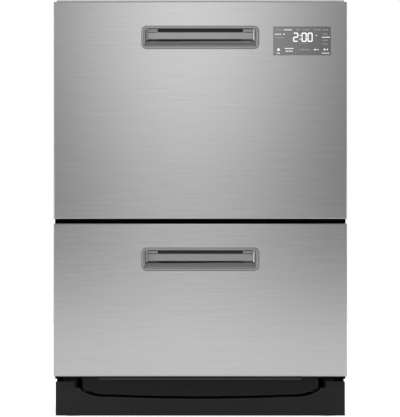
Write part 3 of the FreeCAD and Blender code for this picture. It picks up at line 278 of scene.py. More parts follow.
def smooth_curves(piece, angle=35):
    """Smooth shading on curves, while large flat faces stay flat."""
    activate(piece)
    bpy.ops.object.shade_smooth_by_angle(angle=math.radians(angle))
    flat = piece.modifiers.new("flat_faces_lead", "WEIGHTED_NORMAL")
    flat.keep_sharp = True
    flat.weight = 100
    bpy.ops.object.modifier_apply(modifier=flat.name)


def round_edges(piece, width, segments=2, angle=40):
    """Rounds every edge whose two faces turn by more than an angle."""
    activate(piece)
    edge = piece.modifiers.new("rounding", "BEVEL")
    edge.width = width * MM
    edge.segments = segments
    edge.limit_method = "ANGLE"
    edge.angle_limit = math.radians(angle)
    bpy.ops.object.modifier_apply(modifier=edge.name)


def copy_of(node, rounding=0.0, segments=2):
    """A copy of a CAD node with its triangles merged into whole faces and its hard edges rounded."""
    leave_and_deselect()
    piece = bpy.data.objects.new(node + "_copy", frame["nodes"][node].data.copy())
    scene.collection.objects.link(piece)
    activate(piece)
    bpy.ops.object.mode_set(mode="EDIT")
    bpy.ops.mesh.select_all(action="SELECT")
    bpy.ops.mesh.remove_doubles(threshold=0.01 * MM)
    bpy.ops.mesh.dissolve_limited(angle_limit=math.radians(0.5))
    bpy.ops.object.mode_set(mode="OBJECT")
    if rounding:
        round_edges(piece, rounding, segments)
    smooth_curves(piece)
    return piece


def fit(piece, material, node):
    """The piece gets its name and material, and takes its CAD node's place and body."""
    piece.name = node + "_finished"
    piece.data.materials.clear()
    piece.data.materials.append(material)
    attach(piece, frame["nodes"][node]["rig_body"])
    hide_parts(node)


# The crystals are 8 to 20 mm across, and their relief is only a few thousandths of a millimetre.
zinc_sheet = surface(
    "zinc_coated_steel_spangled", "#A6A9AB", "#BFC2C4", (14, 14, 14), (0.34, 0.5), 0.004,
    "ShaderNodeTexVoronoi", 1, Metallic=1.0,
)
for node in ("side_panel_left", "side_panel_right", "top_panel", "rear_panel", "base_pan"):
    fit(copy_of(node, 0.25), zinc_sheet, node)


# Case screws. Four zinc-plated sheet screws with pressed hexagon heads and a washer face hold the
# back to the flanges of the sides. Each is turned in until its washer sits flat.
def lathe(name, centre, axis, profile, steps=48):
    """A round piece: its profile is drawn point by point as (radius, height), and spun round the axis."""
    def at(radius, height):
        return Vector((radius, 0, height)) if axis == "Z" else Vector((radius, height, 0))

    leave_and_deselect()
    middle = Vector(centre) * MM
    bpy.ops.mesh.primitive_plane_add(size=MM, location=middle + at(*profile[0]) * MM)
    piece = bpy.context.object
    piece.name = name
    bpy.ops.object.transform_apply()
    bpy.ops.object.mode_set(mode="EDIT")
    bpy.ops.mesh.select_mode(type="VERT")
    bpy.ops.mesh.select_all(action="SELECT")
    bpy.ops.mesh.merge(type="CENTER")
    for before, after in zip(profile, profile[1:]):
        step = (at(*after) - at(*before)) * MM
        bpy.ops.mesh.extrude_region_move(TRANSFORM_OT_translate={"value": step})
    bpy.ops.mesh.select_all(action="SELECT")
    turn = (0, 0, 1) if axis == "Z" else (0, 1, 0)
    bpy.ops.mesh.spin(steps=steps, angle=math.tau, center=middle, axis=turn)
    bpy.ops.mesh.select_all(action="SELECT")
    bpy.ops.mesh.remove_doubles(threshold=0.005 * MM)
    bpy.ops.mesh.normals_make_consistent(inside=False)
    bpy.ops.object.mode_set(mode="OBJECT")
    return piece


def join(pieces):
    """Joins pieces into the first one."""
    leave_and_deselect()
    for piece in pieces:
        piece.select_set(True)
    bpy.context.view_layer.objects.active = pieces[0]
    bpy.ops.object.join()
    return pieces[0]


def pick(piece, kind, test):
    """Selects a mesh's vertices, edges or faces by a test on each, in edit mode."""
    activate(piece)
    bpy.ops.object.mode_set(mode="EDIT")
    bpy.ops.mesh.select_mode(type=kind)
    bpy.ops.mesh.select_all(action="DESELECT")
    mesh = bmesh.from_edit_mesh(piece.data)
    parts = {"VERT": mesh.verts, "EDGE": mesh.edges, "FACE": mesh.faces}[kind]
    for part in parts:
        if test(part):
            part.select_set(True)
    mesh.select_flush_mode()
    bmesh.update_edit_mesh(piece.data)


def hexagon(centre, radius, height, axis, inset, dish):
    """A six-sided head whose top is inset and dished. It stands on its centre along the axis."""
    leave_and_deselect()
    turn = (0, 0, 0) if axis == "Z" else (math.radians(-90), 0, 0)
    along = Vector((0, 0, 1)) if axis == "Z" else Vector((0, 1, 0))
    middle = (Vector(centre) + along * height / 2) * MM
    bpy.ops.mesh.primitive_cylinder_add(
        vertices=6, radius=radius * MM, depth=height * MM, location=middle, rotation=turn
    )
    piece = bpy.context.object
    bpy.ops.object.transform_apply()
    top = (Vector(centre) + along * height) * MM
    pick(piece, "FACE", lambda face: (face.calc_center_median() - top).length < 0.01 * MM)
    bpy.ops.mesh.inset(thickness=inset * MM, depth=-dish * MM)
    bpy.ops.object.mode_set(mode="OBJECT")
    return piece


# Zinc plating on small parts is even and slightly yellowed, with fine tumbling marks.
zinc_plating = surface(
    "steel_zinc_plated", "#AEB0AF", "#BFC1BF", (2.5, 2.5, 2.5), (0.26, 0.38), 0.004, Metallic=1.0
)
rear_sheet_y = 284.5
washer_face = [(0, 0), (4.2, 0), (4.2, 0.4), (3.8, 0.65), (0, 0.65)]
screws = []
for x in (-279, 279):
    for z in (141.8, 836):
        screws.append(hexagon((x, rear_sheet_y + 0.6, z), 3.9, 1.4, "Y", 0.9, 0.3))
        screws.append(lathe("washer", (x, rear_sheet_y, z), "Y", washer_face, 24))
screws = join(screws)
smooth_curves(screws)
fit(screws, zinc_plating, "case_screws")


# Levelling feet. Glass-filled nylon feet with a ribbed pad, a hexagon for the spanner and a
# threaded stem that screws into the nut in the base pan.
glass_nylon = surface(
    "nylon_glass_filled_moulded", "#161616", "#202021", (1.6, 1.6, 1.6), (0.42, 0.58), 0.02, IOR=1.53
)
foot_pad = [(0, 0), (17.6, 0), (19, 1.2), (19, 3.4), (18, 4.2), (11.5, 6.4), (10.2, 9), (10.2, 11)]
foot_pad += [(0, 11)]
pitch = 2
foot_thread = [(0, 11), (4.9, 11)]
for turn in range(17):
    low = 22.6 + turn * pitch
    foot_thread += [(4.9, low), (4.2, low + 0.7), (4.2, low + 1.3)]
foot_thread += [(4.9, 58), (0, 58)]
foot_places = {
    "foot_front_left": (-261, -226.3),
    "foot_front_right": (261, -226.3),
    "foot_rear_left": (-261, 253),
    "foot_rear_right": (261, 253),
}
for node, (x, y) in foot_places.items():
    foot = lathe(node + "_pad", (x, y, 0), "Z", foot_pad, 40)
    stem = lathe("stem", (x, y, 0), "Z", foot_thread, 20)
    spanner_flats = hexagon((x, y, 5.2), 9.8, 5.8, "Z", 1.2, 0.2)
    foot = join([foot, stem, spanner_flats])
    smooth_curves(foot)
    fit(foot, glass_nylon, node)


# Toe kick and trim. The kick panel is steel sheet with a flat black powder coat, and the folded
# trim that shows as a dark line between the drawers is darker than real black paint, as painted gap
# shade.
def block(low, high, rounding=1.0, segments=2):
    """A block between two corners in millimetres. Its edges are rounded, unless rounding is 0."""
    leave_and_deselect()
    low, high = Vector(low), Vector(high)
    bpy.ops.mesh.primitive_cube_add(size=1, location=(low + high) / 2 * MM)
    piece = bpy.context.object
    piece.scale = (high - low) * MM
    bpy.ops.object.transform_apply()
    if rounding:
        round_edges(piece, rounding, segments)
    return piece


# Powder coat has an orange peel a millimetre or two across. It takes the shine off flat black.
powder_coat = surface(
    "steel_powder_coated_black", "#0F0F0F", "#151515", (1.8, 1.8, 1.8), (0.5, 0.62), 0.03,
    IOR=1.5, Specular_IOR_Level=0.4,
)
fit(copy_of("toe_kick", 0.3), powder_coat, "toe_kick")

# The trim's near-black colour paints in the shade that falls in the gaps between the drawers.
flat_black = surface(
    "steel_painted_flat_black", "#020202", "#050505", (3, 3, 3), (0.8, 0.92), 0.01,
    Specular_IOR_Level=0.08,
)
fit(copy_of("front_trim", 0.2), flat_black, "front_trim")


# Apron. A shallow black polypropylene moulding that is clipped under the lower drawer and fills the
# smile in the kick panel. A soft glossy lip, moulded on along its top, catches the light in a line.
moulded_black = surface(
    "polypropylene_moulded_black", "#0A0A0A", "#0F0F0F", (2.2, 2.2, 2.2), (0.4, 0.5), 0.02,
    IOR=1.49, Specular_IOR_Level=0.3,
)
fit(copy_of("lower_apron", 0.7, 3), moulded_black, "lower_apron")

soft_lip = surface(
    "elastomer_moulded_glossy_black", "#242424", "#2B2B2B", (1.5, 1.5, 1.5), (0.22, 0.3), 0.005, IOR=1.5
)
bead_reach = 207
lip_bead = block((-bead_reach, -262.4, 74.0), (bead_reach, -259.0, 79.4), 0.7, 3)
smooth_curves(lip_bead)
lip_bead.name = "lower_apron_lip"
lip_bead.data.materials.append(soft_lip)
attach(lip_bead, "lower_drawer")


# Drawer fronts. Folded skins of 0.8 mm stainless steel with small bends along all four sides,
# brushed along their length before folding, so reflections smear upwards and downwards.
# The grain's real lines are 0.1 to 0.2 mm apart. They are drawn 1.5 mm apart so that they can show.
brushed_steel = surface(
    "stainless_steel_brushed_lengthwise", "#C8C8C8", "#D6D6D6", (71, 1.5, 1.5), (0.22, 0.25), 0.002,
    Metallic=1.0, Anisotropic=0.5, Anisotropic_Rotation=0.25,
)
for drawer in ("upper", "lower"):
    node = drawer + "_front_panel"
    fit(copy_of(node, 0.25), brushed_steel, node)


# Handles. A die-cast frame with a rounded lip round a pressed finger pocket, satin plated. A thin
# black rubber gasket lies under the lip, and its black ring also paints the shadow line of the gap
# round the lip. A dark moulded liner fills the undercut that fingers reach, as painted shade.
handle_heights = {"upper": 773.6, "lower": 321.0}
handle_width = 239.0
handle_height = 46.0
handle_corner = 10.4
lip_steps = [(0.2, 0.65), (0.3, 0.22), (0.6, 0.1), (2.1, 0.0), (0.6, -0.12), (0.35, -0.3), (0.3, -0.8)]
lip_depth = 2.9
gasket_overlap = 0.65
gasket_thickness = 0.2
undercut_reach = 87.4
undercut_top = 23.8
undercut_back = 19.9


def rounded_plate(y, height, width, tall, corner):
    """A flat plate that faces the front, with rounded corners. It is left selected in edit mode."""
    leave_and_deselect()
    place = Vector((0, y, height)) * MM
    bpy.ops.mesh.primitive_plane_add(size=1, location=place, rotation=(math.radians(90), 0, 0))
    plate = bpy.context.object
    plate.scale = (width * MM, tall * MM, 1)
    bpy.ops.object.transform_apply()
    bpy.ops.object.mode_set(mode="EDIT")
    bpy.ops.mesh.select_all(action="SELECT")
    bpy.ops.mesh.bevel(offset=corner * MM, segments=10, affect="VERTICES")
    bpy.ops.mesh.select_all(action="SELECT")
    return plate


# Satin plating scatters a reflection evenly, over grinding marks that run along the frame.
satin_plating = surface(
    "zinc_casting_satin_plated", "#ABABAB", "#B7B7B7", (25, 1.1, 1.1), (0.26, 0.36), 0.004, Metallic=1.0
)
# The gasket is a black rubber ring, and its black also paints the shadow line of the gap round the lip.
gasket_rubber = surface(
    "foam_rubber_black", "#101010", "#181818", (1.2, 1.2, 1.2), (0.75, 0.9), 0.05, Specular_IOR_Level=0.2
)
# The liner's dark grey paints the shade inside the finger undercut.
liner_plastic = surface(
    "abs_moulded_dark_grey", "#202020", "#2A2A2A", (2, 2, 2), (0.35, 0.5), 0.02, IOR=1.53
)
for drawer, height in handle_heights.items():
    lip = rounded_plate(face_y, height, handle_width, handle_height, handle_corner)
    for thickness, depth in lip_steps:
        bpy.ops.mesh.inset(thickness=thickness * MM, depth=depth * MM)
    bpy.ops.mesh.inset(thickness=0.02 * MM, depth=-lip_depth * MM)
    bpy.ops.mesh.delete(type="FACE")
    bpy.ops.object.mode_set(mode="OBJECT")
    pocket = copy_of(drawer + "_handle")
    pick(pocket, "VERT", lambda v: v.co.y < (face_y + 0.05) * MM)
    bpy.ops.mesh.delete(type="VERT")
    bpy.ops.object.mode_set(mode="OBJECT")
    # A cheek closes each end of the undercut, with a round bend towards the front.
    cheeks = []
    bend_y, bend_x = (face_y + 2) * MM, 107 * MM
    for side in (-1, 1):
        low_x, high_x = sorted((side * 106.8, side * 111.4))
        cheek = block((low_x, face_y + 1.2, height - 6), (high_x, face_y + 19, height + 15), 0)
        pick(cheek, "EDGE", lambda e: all(v.co.y < bend_y and abs(v.co.x) < bend_x for v in e.verts))
        bpy.ops.mesh.bevel(offset=4.4 * MM, segments=6, affect="EDGES")
        bpy.ops.object.mode_set(mode="OBJECT")
        cheeks.append(cheek)
    pocket = join([pocket, lip] + cheeks)
    smooth_curves(pocket, 40)
    fit(pocket, satin_plating, drawer + "_handle")

    width, tall = handle_width + 2 * gasket_overlap, handle_height + 2 * gasket_overlap
    # The gasket's black ring paints the shadow line of the gap round the lip as well.
    gasket = rounded_plate(face_y - 0.16, height, width, tall, handle_corner + gasket_overlap)
    bpy.ops.mesh.inset(thickness=1.6 * MM)
    bpy.ops.mesh.delete(type="FACE")
    bpy.ops.mesh.select_all(action="SELECT")
    bpy.ops.mesh.extrude_region_move(TRANSFORM_OT_translate={"value": (0, gasket_thickness * MM, 0)})
    bpy.ops.mesh.select_all(action="SELECT")
    bpy.ops.mesh.normals_make_consistent(inside=False)
    bpy.ops.object.mode_set(mode="OBJECT")
    gasket.name = drawer + "_handle_gasket"
    gasket.data.materials.append(gasket_rubber)
    # The liner is a back, a ceiling and an apron in painted shade, and dark strips at both ends paint the
    # shadow lines of the gaps there.
    back_y, top = face_y + undercut_back, height + undercut_top
    walls = [
        block((-undercut_reach, face_y + 18.6, height + 10.8), (undercut_reach, back_y, top - 0.2), 0.4),
        block((-undercut_reach, face_y + 3, top - 1.4), (undercut_reach, back_y, top), 0.4),
        block((-undercut_reach, face_y + 3, height + 17.2), (undercut_reach, face_y + 4.2, top), 0.4),
    ]
    # These dark strips paint the shadow lines in the gaps at both ends of the undercut.
    for x0, x1 in ((-107, -89), (89, 107)):
        for z, depth in ((10.4, 19.3), (16.8, 2.6)):
            low, high = (x0, face_y + depth, height + z), (x1, face_y + depth + 0.8, height + z + 1.3)
            walls.append(block(low, high, 0.2, 1))
    liner = join(walls)
    smooth_curves(liner)
    liner.name = drawer + "_finger_liner"
    liner.data.materials.append(liner_plastic)
    for piece in (gasket, liner):
        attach(piece, drawer + "_drawer")


# Display. A half-mirrored glass pane set in the upper front, with ground edges. Behind it the
# lamps show three digits, and generic bars and dots stand where the labels are.
mirror_glass = surface(
    "float_glass_half_mirrored", "#8C8C8C", "#929292", (160, 160, 160), (0.06, 0.065), Metallic=0.85
)
fit(copy_of("upper_display_window", 0.7, 3), mirror_glass, "upper_display_window")

lit_lamps = surface(
    "lamp_diffuser_white", "#EDEDED", "#F6F6F6", (4, 4, 4), (0.45, 0.55), Emission_Strength=0.35
)
lit_lamps.node_tree.nodes["Principled BSDF"].inputs["Emission Color"].default_value = linear("#FFFFFF")
pale_ink = surface("ink_screen_printed_pale", "#B0B0B0", "#BABABA", (1, 1, 1), (0.55, 0.65), 0.01)
pane_front_y = -285.8
mark_thickness = 0.12
mark_sink = 0.03


def mark(x0, x1, z0, z1, corner=0.35):
    """A flat mark on the pane: a thin plate whose corners are cut by a share of its smaller side."""
    leave_and_deselect()
    middle = Vector(((x0 + x1) / 2, pane_front_y - mark_thickness / 2 + mark_sink, (z0 + z1) / 2)) * MM
    bpy.ops.mesh.primitive_cube_add(size=1, location=middle)
    plate = bpy.context.object
    plate.scale = Vector((x1 - x0, mark_thickness, z1 - z0)) * MM
    bpy.ops.object.transform_apply()
    pick(plate, "EDGE", lambda e: abs(e.verts[0].co.y - e.verts[1].co.y) > mark_thickness / 2 * MM)
    bpy.ops.mesh.bevel(offset=min(x1 - x0, z1 - z0) * corner * MM, segments=2, affect="EDGES")
    bpy.ops.object.mode_set(mode="OBJECT")
    return plate


def digit(x0, z0, lit):
    """A digit of seven segments, 10.6 mm wide and 19 mm high. Lit names the segments that glow."""
    wide, tall, bar = 10.6, 19.0, 2.3
    middle, nip, gap = tall / 2, bar * 0.6, 0.3
    spans = {
        "a": (nip, wide - nip, tall - bar, tall),
        "b": (wide - bar, wide, middle + gap, tall - nip),
        "c": (wide - bar, wide, nip, middle - gap),
        "d": (nip, wide - nip, 0, bar),
        "e": (0, bar, nip, middle - gap),
        "f": (0, bar, middle + gap, tall - nip),
        "g": (nip, wide - nip, middle - bar / 2, middle + bar / 2),
    }
    return [mark(x0 + a, x0 + b, z0 + c, z0 + d, 0.3) for a, b, c, d in (spans[s] for s in lit)]


def dashes(x0, x1, z0, z1):
    """A row of short equal dashes in place of a label."""
    count = max(1, round((x1 - x0) / 3.3))
    pitch, gap = (x1 - x0) / count, 0.8
    return [mark(x0 + pitch * i, x0 + pitch * (i + 1) - gap, z0, z1) for i in range(count)]


digit_z = 764.4
lit_marks = digit(189.2, digit_z, "abged")
lit_marks += [mark(202.4, 204.6, z, z + 2.2, 0.3) for z in (768.6, 776.6)]
lit_marks += digit(206.4, digit_z, "abcdef") + digit(218.6, digit_z, "abcdef")
bright_rows = [
    (170.5, 187.4, 788.1, 789.9),
    (152.4, 165.6, 779.2, 781.0),
    (248.2, 264.5, 773.0, 774.8),
    (156.2, 163.0, 740.6, 742.2),
    (172.7, 190.5, 750.0, 752.0),
    (174.0, 189.2, 744.6, 746.4),
    (248.2, 263.5, 740.6, 742.2),
]
bright_dots = [
    (169.2, 171.8, 779.2, 781.4),
    (235.4, 237.6, 776.4, 778.6),
    (157.0, 162.0, 746.0, 751.0),
    (232.2, 235.4, 747.0, 750.2),
    (237.4, 241.4, 748.0, 749.4),
    (251.6, 255.0, 747.2, 750.6),
    (257.6, 260.2, 747.6, 750.2),
]
for row in bright_rows:
    lit_marks += dashes(*row)
lit_marks += [mark(*dot) for dot in bright_dots]
lit_marks = join(lit_marks)
lit_marks.name = "display_lit_marks"
lit_marks.data.materials.append(lit_lamps)
faint_rows = [
    (153.4, 166.6, 788.3, 789.8),
    (195.2, 203.3, 788.3, 789.8),
    (209.5, 223.7, 788.3, 789.8),
    (231.9, 246.2, 788.3, 789.8),
    (250.2, 261.5, 788.3, 789.8),
    (154.4, 170.7, 772.3, 773.8),
    (250.2, 260.4, 779.7, 781.2),
    (250.2, 260.4, 767.2, 768.6),
    (250.2, 260.4, 759.4, 760.8),
    (201.3, 222.7, 747.9, 749.4),
]
faint_marks = [mark(x, x + 1.4, 760.4, 761.8) for x in (203.0, 208.0, 212.6, 216.8)]
for row in faint_rows:
    faint_marks += dashes(*row)
faint_marks = join(faint_marks)
faint_marks.name = "display_faint_marks"
faint_marks.data.materials.append(pale_ink)
for piece in (lit_marks, faint_marks):
    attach(piece, "upper_drawer")


# Front carriers and electronics. Ribbed glass-filled carriers stand behind the skins, and the case
# of the electronics is clipped into the upper one behind the display.
carrier_plastic = surface(
    "polypropylene_glass_filled_grey", "#343638", "#404244", (3, 3, 3), (0.42, 0.56), 0.03, IOR=1.5
)
for node in ("upper_front_frame", "lower_front_frame", "upper_control_module"):
    fit(copy_of(node, 0.5), carrier_plastic, node)


# Runners. Three nested channels on each side of a drawer, rolled from zinc-plated steel. The
# middle ones ride along at half the drawer's way.
rails = ["outer_rails"]
rails += [drawer + part for part in ("_middle_rails", "_inner_rails") for drawer in ("upper", "lower")]
for node in rails:
    fit(copy_of(node, 0.35), zinc_plating, node)


# Lids. Each drawer's lid is a ribbed white polypropylene plate that four small lift motors lower
# onto the tub. Its rubber seal is a soft hollow section glued in under the edge.
white_moulding = surface(
    "polypropylene_moulded_white", "#C6C8C9", "#CFD1D2", (4, 4, 4), (0.34, 0.46), 0.015, IOR=1.49
)
seal_rubber = surface(
    "epdm_rubber_grey", "#2E3032", "#3A3C3E", (1.4, 1.4, 1.4), (0.62, 0.78), 0.04, IOR=1.52
)
motor_housing = surface(
    "acetal_moulded_grey", "#6E7274", "#797D7F", (2, 2, 2), (0.38, 0.5), 0.02, IOR=1.48
)
for drawer in ("upper", "lower"):
    fit(copy_of(drawer + "_lid", 0.8), white_moulding, drawer + "_lid")
    fit(copy_of(drawer + "_lid_seal", 2.4, 3), seal_rubber, drawer + "_lid_seal")
fit(copy_of("lid_lifts", 1.0), motor_housing, "lid_lifts")


# Tubs. One deep injection moulding for each drawer, with drafted round corners, a rolled rim, a
# sump, a well for the filter cup and wedge rests that carry the rack.
# The table gives the heights of a tub's floor, rim and runners and of the rack's bottom, and how
# tall the rack's side and its tines are.
levels = {
    "upper": {"floor": 470.0, "rim": 804.0, "rail": 562.0, "rack": 542.0, "side": 92.0, "tine": 78.0},
    "lower": {"floor": 104.4, "rim": 351.4, "rail": 196.4, "rack": 176.4, "side": 70.0, "tine": 62.0},
}
tub_middle_y = -13.0
tub_reach = 273
tub_front_y = -252
tub_back_y = 226
tub_wall = 3
rim_width = 5
sump_depth = 23
cup_x, cup_y = 112, 49
bore = 4.2


def boolean(piece, cutter, operation):
    """Adds or cuts away a second piece, which is used up, and clears slivers along the cut."""
    activate(piece)
    change = piece.modifiers.new("change", "BOOLEAN")
    change.operation = operation
    change.solver = "EXACT"
    change.object = cutter
    bpy.ops.object.modifier_apply(modifier=change.name)
    bpy.data.objects.remove(cutter)
    pick(piece, "VERT", lambda v: True)
    bpy.ops.mesh.remove_doubles(threshold=0.02 * MM)
    bpy.ops.mesh.dissolve_degenerate(threshold=0.02 * MM)
    bpy.ops.object.mode_set(mode="OBJECT")


def wedge(x_wall, x_reach, y0, y1, top):
    """A bracket that is 30 mm deep at the tub's wall and 5 mm at its free end."""
    low_x, high_x = sorted((x_wall, x_reach))
    rest = block((low_x, y0, top - 30), (high_x, y1, top), 0)
    pick(rest, "VERT", lambda v: abs(v.co.x - x_reach * MM) < MM and v.co.z < (top - 29) * MM)
    bpy.ops.transform.translate(value=(0, 0, 25 * MM))
    bpy.ops.object.mode_set(mode="OBJECT")
    round_edges(rest, 1.2, 3)
    return rest


tub_plastic = surface(
    "polypropylene_talc_filled_grey", "#B4B7B8", "#C0C3C4", (5, 5, 5), (0.3, 0.42), 0.02, IOR=1.49
)
for drawer, level in levels.items():
    floor_z, top_z = level["floor"], level["rim"] - tub_wall
    seam_z = floor_z - 1.2
    low, high = (-tub_reach, tub_front_y, floor_z - tub_wall), (tub_reach, tub_back_y, top_z)
    tub = block(low, high, 0)
    pick(tub, "FACE", lambda f: f.calc_center_median().z > (top_z - 1) * MM)
    bpy.ops.mesh.delete(type="FACE")
    pick(tub, "EDGE", lambda e: abs(e.verts[0].co.z - e.verts[1].co.z) > 50 * MM)
    bpy.ops.mesh.bevel(offset=32 * MM, segments=8, affect="EDGES")
    bottom = (floor_z - 2) * MM
    pick(tub, "EDGE", lambda e: len(e.link_faces) == 2 and max(v.co.z for v in e.verts) < bottom)
    bpy.ops.mesh.bevel(offset=17 * MM, segments=5, affect="EDGES")
    pick(tub, "EDGE", lambda e: e.is_boundary)
    bpy.ops.mesh.extrude_region_move(TRANSFORM_OT_translate={"value": (0, 0, 0)})
    length = tub_back_y - tub_front_y
    spread = ((tub_reach + rim_width) / tub_reach, (length + rim_width) / length, 1)
    bpy.ops.transform.resize(value=spread, center_override=(0, tub_front_y * MM, 0))
    bpy.ops.mesh.select_all(action="SELECT")
    bpy.ops.mesh.normals_make_consistent(inside=False)
    bpy.ops.object.mode_set(mode="OBJECT")
    wall = tub.modifiers.new("wall", "SOLIDIFY")
    wall.thickness = tub_wall * MM
    wall.offset = -1
    wall.use_even_offset = True
    bpy.ops.object.modifier_apply(modifier=wall.name)
    round_edges(tub, 0.8, 2, 50)
    middle = (0, tub_middle_y, 0)
    under = floor_z - sump_depth
    outside = [(0, under), (88, under), (93, under + 2), (95, under + 7), (95, seam_z), (0, seam_z)]
    inside = [(0, under + 3), (86, under + 3), (90, under + 4.5), (92, under + 9), (92, floor_z - 0.6)]
    inside += [(92.8, floor_z + 0.6), (92.8, floor_z + 4), (0, floor_z + 4)]
    boolean(tub, lathe("sump", middle, "Z", outside), "UNION")
    low, high = (cup_x - 39, cup_y - 39, floor_z - 31), (cup_x + 39, cup_y + 39, seam_z)
    boolean(tub, block(low, high, 5, 3), "UNION")
    boolean(tub, lathe("sump_hollow", middle, "Z", inside), "DIFFERENCE")
    low, high = (cup_x - 36, cup_y - 36, floor_z - 28), (cup_x + 36, cup_y + 36, floor_z + 8)
    boolean(tub, block(low, high, 4, 3), "DIFFERENCE")
    post = [(0, under + 2.5), (9, under + 2.5), (9, under + 3), (5.4, under + 3.4), (4, under + 5)]
    post += [(4, floor_z + 45), (3.2, floor_z + 46), (0, floor_z + 46)]
    parts = [tub, lathe("post", middle, "Z", post, 24)]
    for side in (-1, 1):
        for z in (level["rail"] - 11.5, level["rail"] + 11.5):
            low_x, high_x = sorted((side * 272, side * 280))
            parts.append(block((low_x, -232, z - 2.5), (high_x, 202, z + 2.5), 0.8))
        for y0, y1 in ((-145, -119), (139, 165)):
            parts.append(wedge(side * 270.4, side * 236, y0, y1, level["rack"]))
    tub = join(parts)
    smooth_curves(tub)
    fit(tub, tub_plastic, drawer + "_tub")


# Wash motors. A flat can hangs under each sump, with rolled grooves, ribs and a terminal block
# whose spade contacts point backwards. The can is black cataphoretic primer over pressed steel.
def turn_about(piece, degrees, middle):
    """Turns a piece round an upright axis."""
    pick(piece, "VERT", lambda v: True)
    centre = Vector(middle) * MM
    bpy.ops.transform.rotate(value=math.radians(degrees), orient_axis="Z", center_override=centre)
    bpy.ops.object.mode_set(mode="OBJECT")
    return piece


primed_can = surface(
    "steel_dip_primed_black", "#232527", "#2D2F31", (2.4, 2.4, 2.4), (0.34, 0.48), 0.02, IOR=1.5
)
can_height = 27
for drawer, level in levels.items():
    top = level["floor"] - sump_depth
    low = top - can_height
    can = [(0, low - 3), (28, low - 3), (30.4, low - 2), (30.4, low - 0.2), (31.4, low), (71, low)]
    can += [(74.6, low + 1.4), (76, low + 5)]
    for groove in (low + 8, low + 16):
        can += [(76, groove), (74.8, groove + 0.8), (74.8, groove + 2), (76, groove + 2.8)]
    can += [(76, top), (0, top)]
    middle = (0, tub_middle_y, 0)
    parts = [lathe("can", middle, "Z", can, 56)]
    for i in range(4):
        rib = block((70, tub_middle_y - 2, low + 6), (81, tub_middle_y + 2, top), 0.8)
        parts.append(turn_about(rib, 90 * i, middle))
    parts.append(block((-16, 55, top - 20), (16, 77, top - 4), 1.2, 3))
    for x in (-9, -3, 3, 9):
        parts.append(block((x - 1.6, 68, top - 23.4), (x + 1.6, 68.8, top - 19), 0.3, 1))
    motor = join(parts)
    smooth_curves(motor)
    fit(motor, primed_can, drawer + "_wash_motor")


# Pump wheels. A disc with six vanes on a long hub that turns on the sump's post, moulded in
# glass-filled nylon, with a lead-in round the edges of the hub.
for drawer, level in levels.items():
    low = level["floor"] - 19.4
    wheel = [(bore, low), (36, low), (37, low + 0.9), (37, low + 2.2), (36.2, low + 3)]
    wheel += [(10.6, low + 3), (9, low + 4.6), (9, low + 27), (8, low + 28), (4.8, low + 28)]
    wheel += [(bore, low + 27.4), (bore, low)]
    middle = (0, tub_middle_y, 0)
    parts = [lathe("wheel", middle, "Z", wheel, 40)]
    for i in range(6):
        vane = block((8, tub_middle_y - 1, low + 2.4), (35, tub_middle_y + 1, low + 19), 0.5)
        parts.append(turn_about(vane, 60 * i, middle))
    rotor = join(parts)
    smooth_curves(rotor)
    fit(rotor, glass_nylon, drawer + "_wash_rotor")


# Filters. A stainless plate with rings of punched holes lies over the sump, and is drawn up into a
# dome round the post. The cup that lifts out has narrow slots and a bar to grip.
# Pickled sheet is dull, and finely mottled by the etching.
pickled_steel = surface(
    "stainless_steel_pickled_sheet", "#AEB1B3", "#BFC2C4", (3, 3, 3), (0.24, 0.36), 0.01, Metallic=1.0
)
hole_radius = 2.5
for drawer, level in levels.items():
    low = level["floor"]
    plate = [(44, low), (167, low), (168, low + 0.8), (168, low + 1.7), (167, low + 2.5), (50, low + 2.5)]
    plate += [(47.2, low + 4), (46, low + 7), (45.4, low + 22), (44, low + 26), (40, low + 28)]
    plate += [(17, low + 28), (16, low + 27.4), (16, low + 26.4), (39, low + 26), (42, low + 24.6)]
    plate += [(43.2, low + 21), (44, low)]
    sheet = lathe("filter_sheet", (0, tub_middle_y, 0), "Z", plate, 64)
    punches = []
    for ring in range(11):
        reach = 58 + ring * 9.6
        count = int(math.tau * reach / 9.4)
        for i in range(count):
            angle = math.tau * (i + ring % 2 / 2) / count
            x, y = reach * math.cos(angle), tub_middle_y + reach * math.sin(angle)
            if math.dist((x, y), (cup_x, cup_y)) > 38:
                punches.append((x, y))
    leave_and_deselect()
    start = Vector((*punches[0], low + 1)) * MM
    bpy.ops.mesh.primitive_cylinder_add(
        vertices=8, radius=hole_radius * MM, depth=8 * MM, location=start
    )
    punch = bpy.context.object
    bpy.ops.object.transform_apply()
    bpy.ops.object.mode_set(mode="EDIT")
    bpy.ops.mesh.select_all(action="SELECT")
    for before, after in zip(punches, punches[1:]):
        step = ((after[0] - before[0]) * MM, (after[1] - before[1]) * MM, 0)
        bpy.ops.mesh.duplicate_move(TRANSFORM_OT_translate={"value": step})
    bpy.ops.object.mode_set(mode="OBJECT")
    boolean(sheet, punch, "DIFFERENCE")
    seat = [(0, low - 3), (31.3, low - 3), (31.3, low + 6), (0, low + 6)]
    boolean(sheet, lathe("seat", (cup_x, cup_y, 0), "Z", seat), "DIFFERENCE")
    smooth_curves(sheet)
    fit(sheet, pickled_steel, drawer + "_filter_plate")

    rim = low + 2.8
    low = rim - 28
    cup = [(0, low), (29.4, low), (31, low + 1.6), (31, rim), (33.4, rim), (34, rim + 0.6)]
    cup += [(34, rim + 1.4), (33.4, rim + 2), (29.8, rim + 2), (29, rim + 1.2), (29, low + 4)]
    cup += [(27, low + 2), (0, low + 2)]
    cup = lathe("cup", (cup_x, cup_y, 0), "Z", cup)
    for i in range(9):
        slot = block((cup_x - 33, cup_y - 2.2, low + 5), (cup_x + 33, cup_y + 2.2, rim - 8), 0.5, 1)
        boolean(cup, turn_about(slot, 20 * i + 10, (cup_x, cup_y, 0)), "DIFFERENCE")
    bar = block((cup_x - 30, cup_y - 2.5, rim - 6), (cup_x + 30, cup_y + 2.5, rim + 9), 1.6, 3)
    cup = join([cup, bar])
    smooth_curves(cup)
    fit(cup, motor_housing, drawer + "_drain_filter")


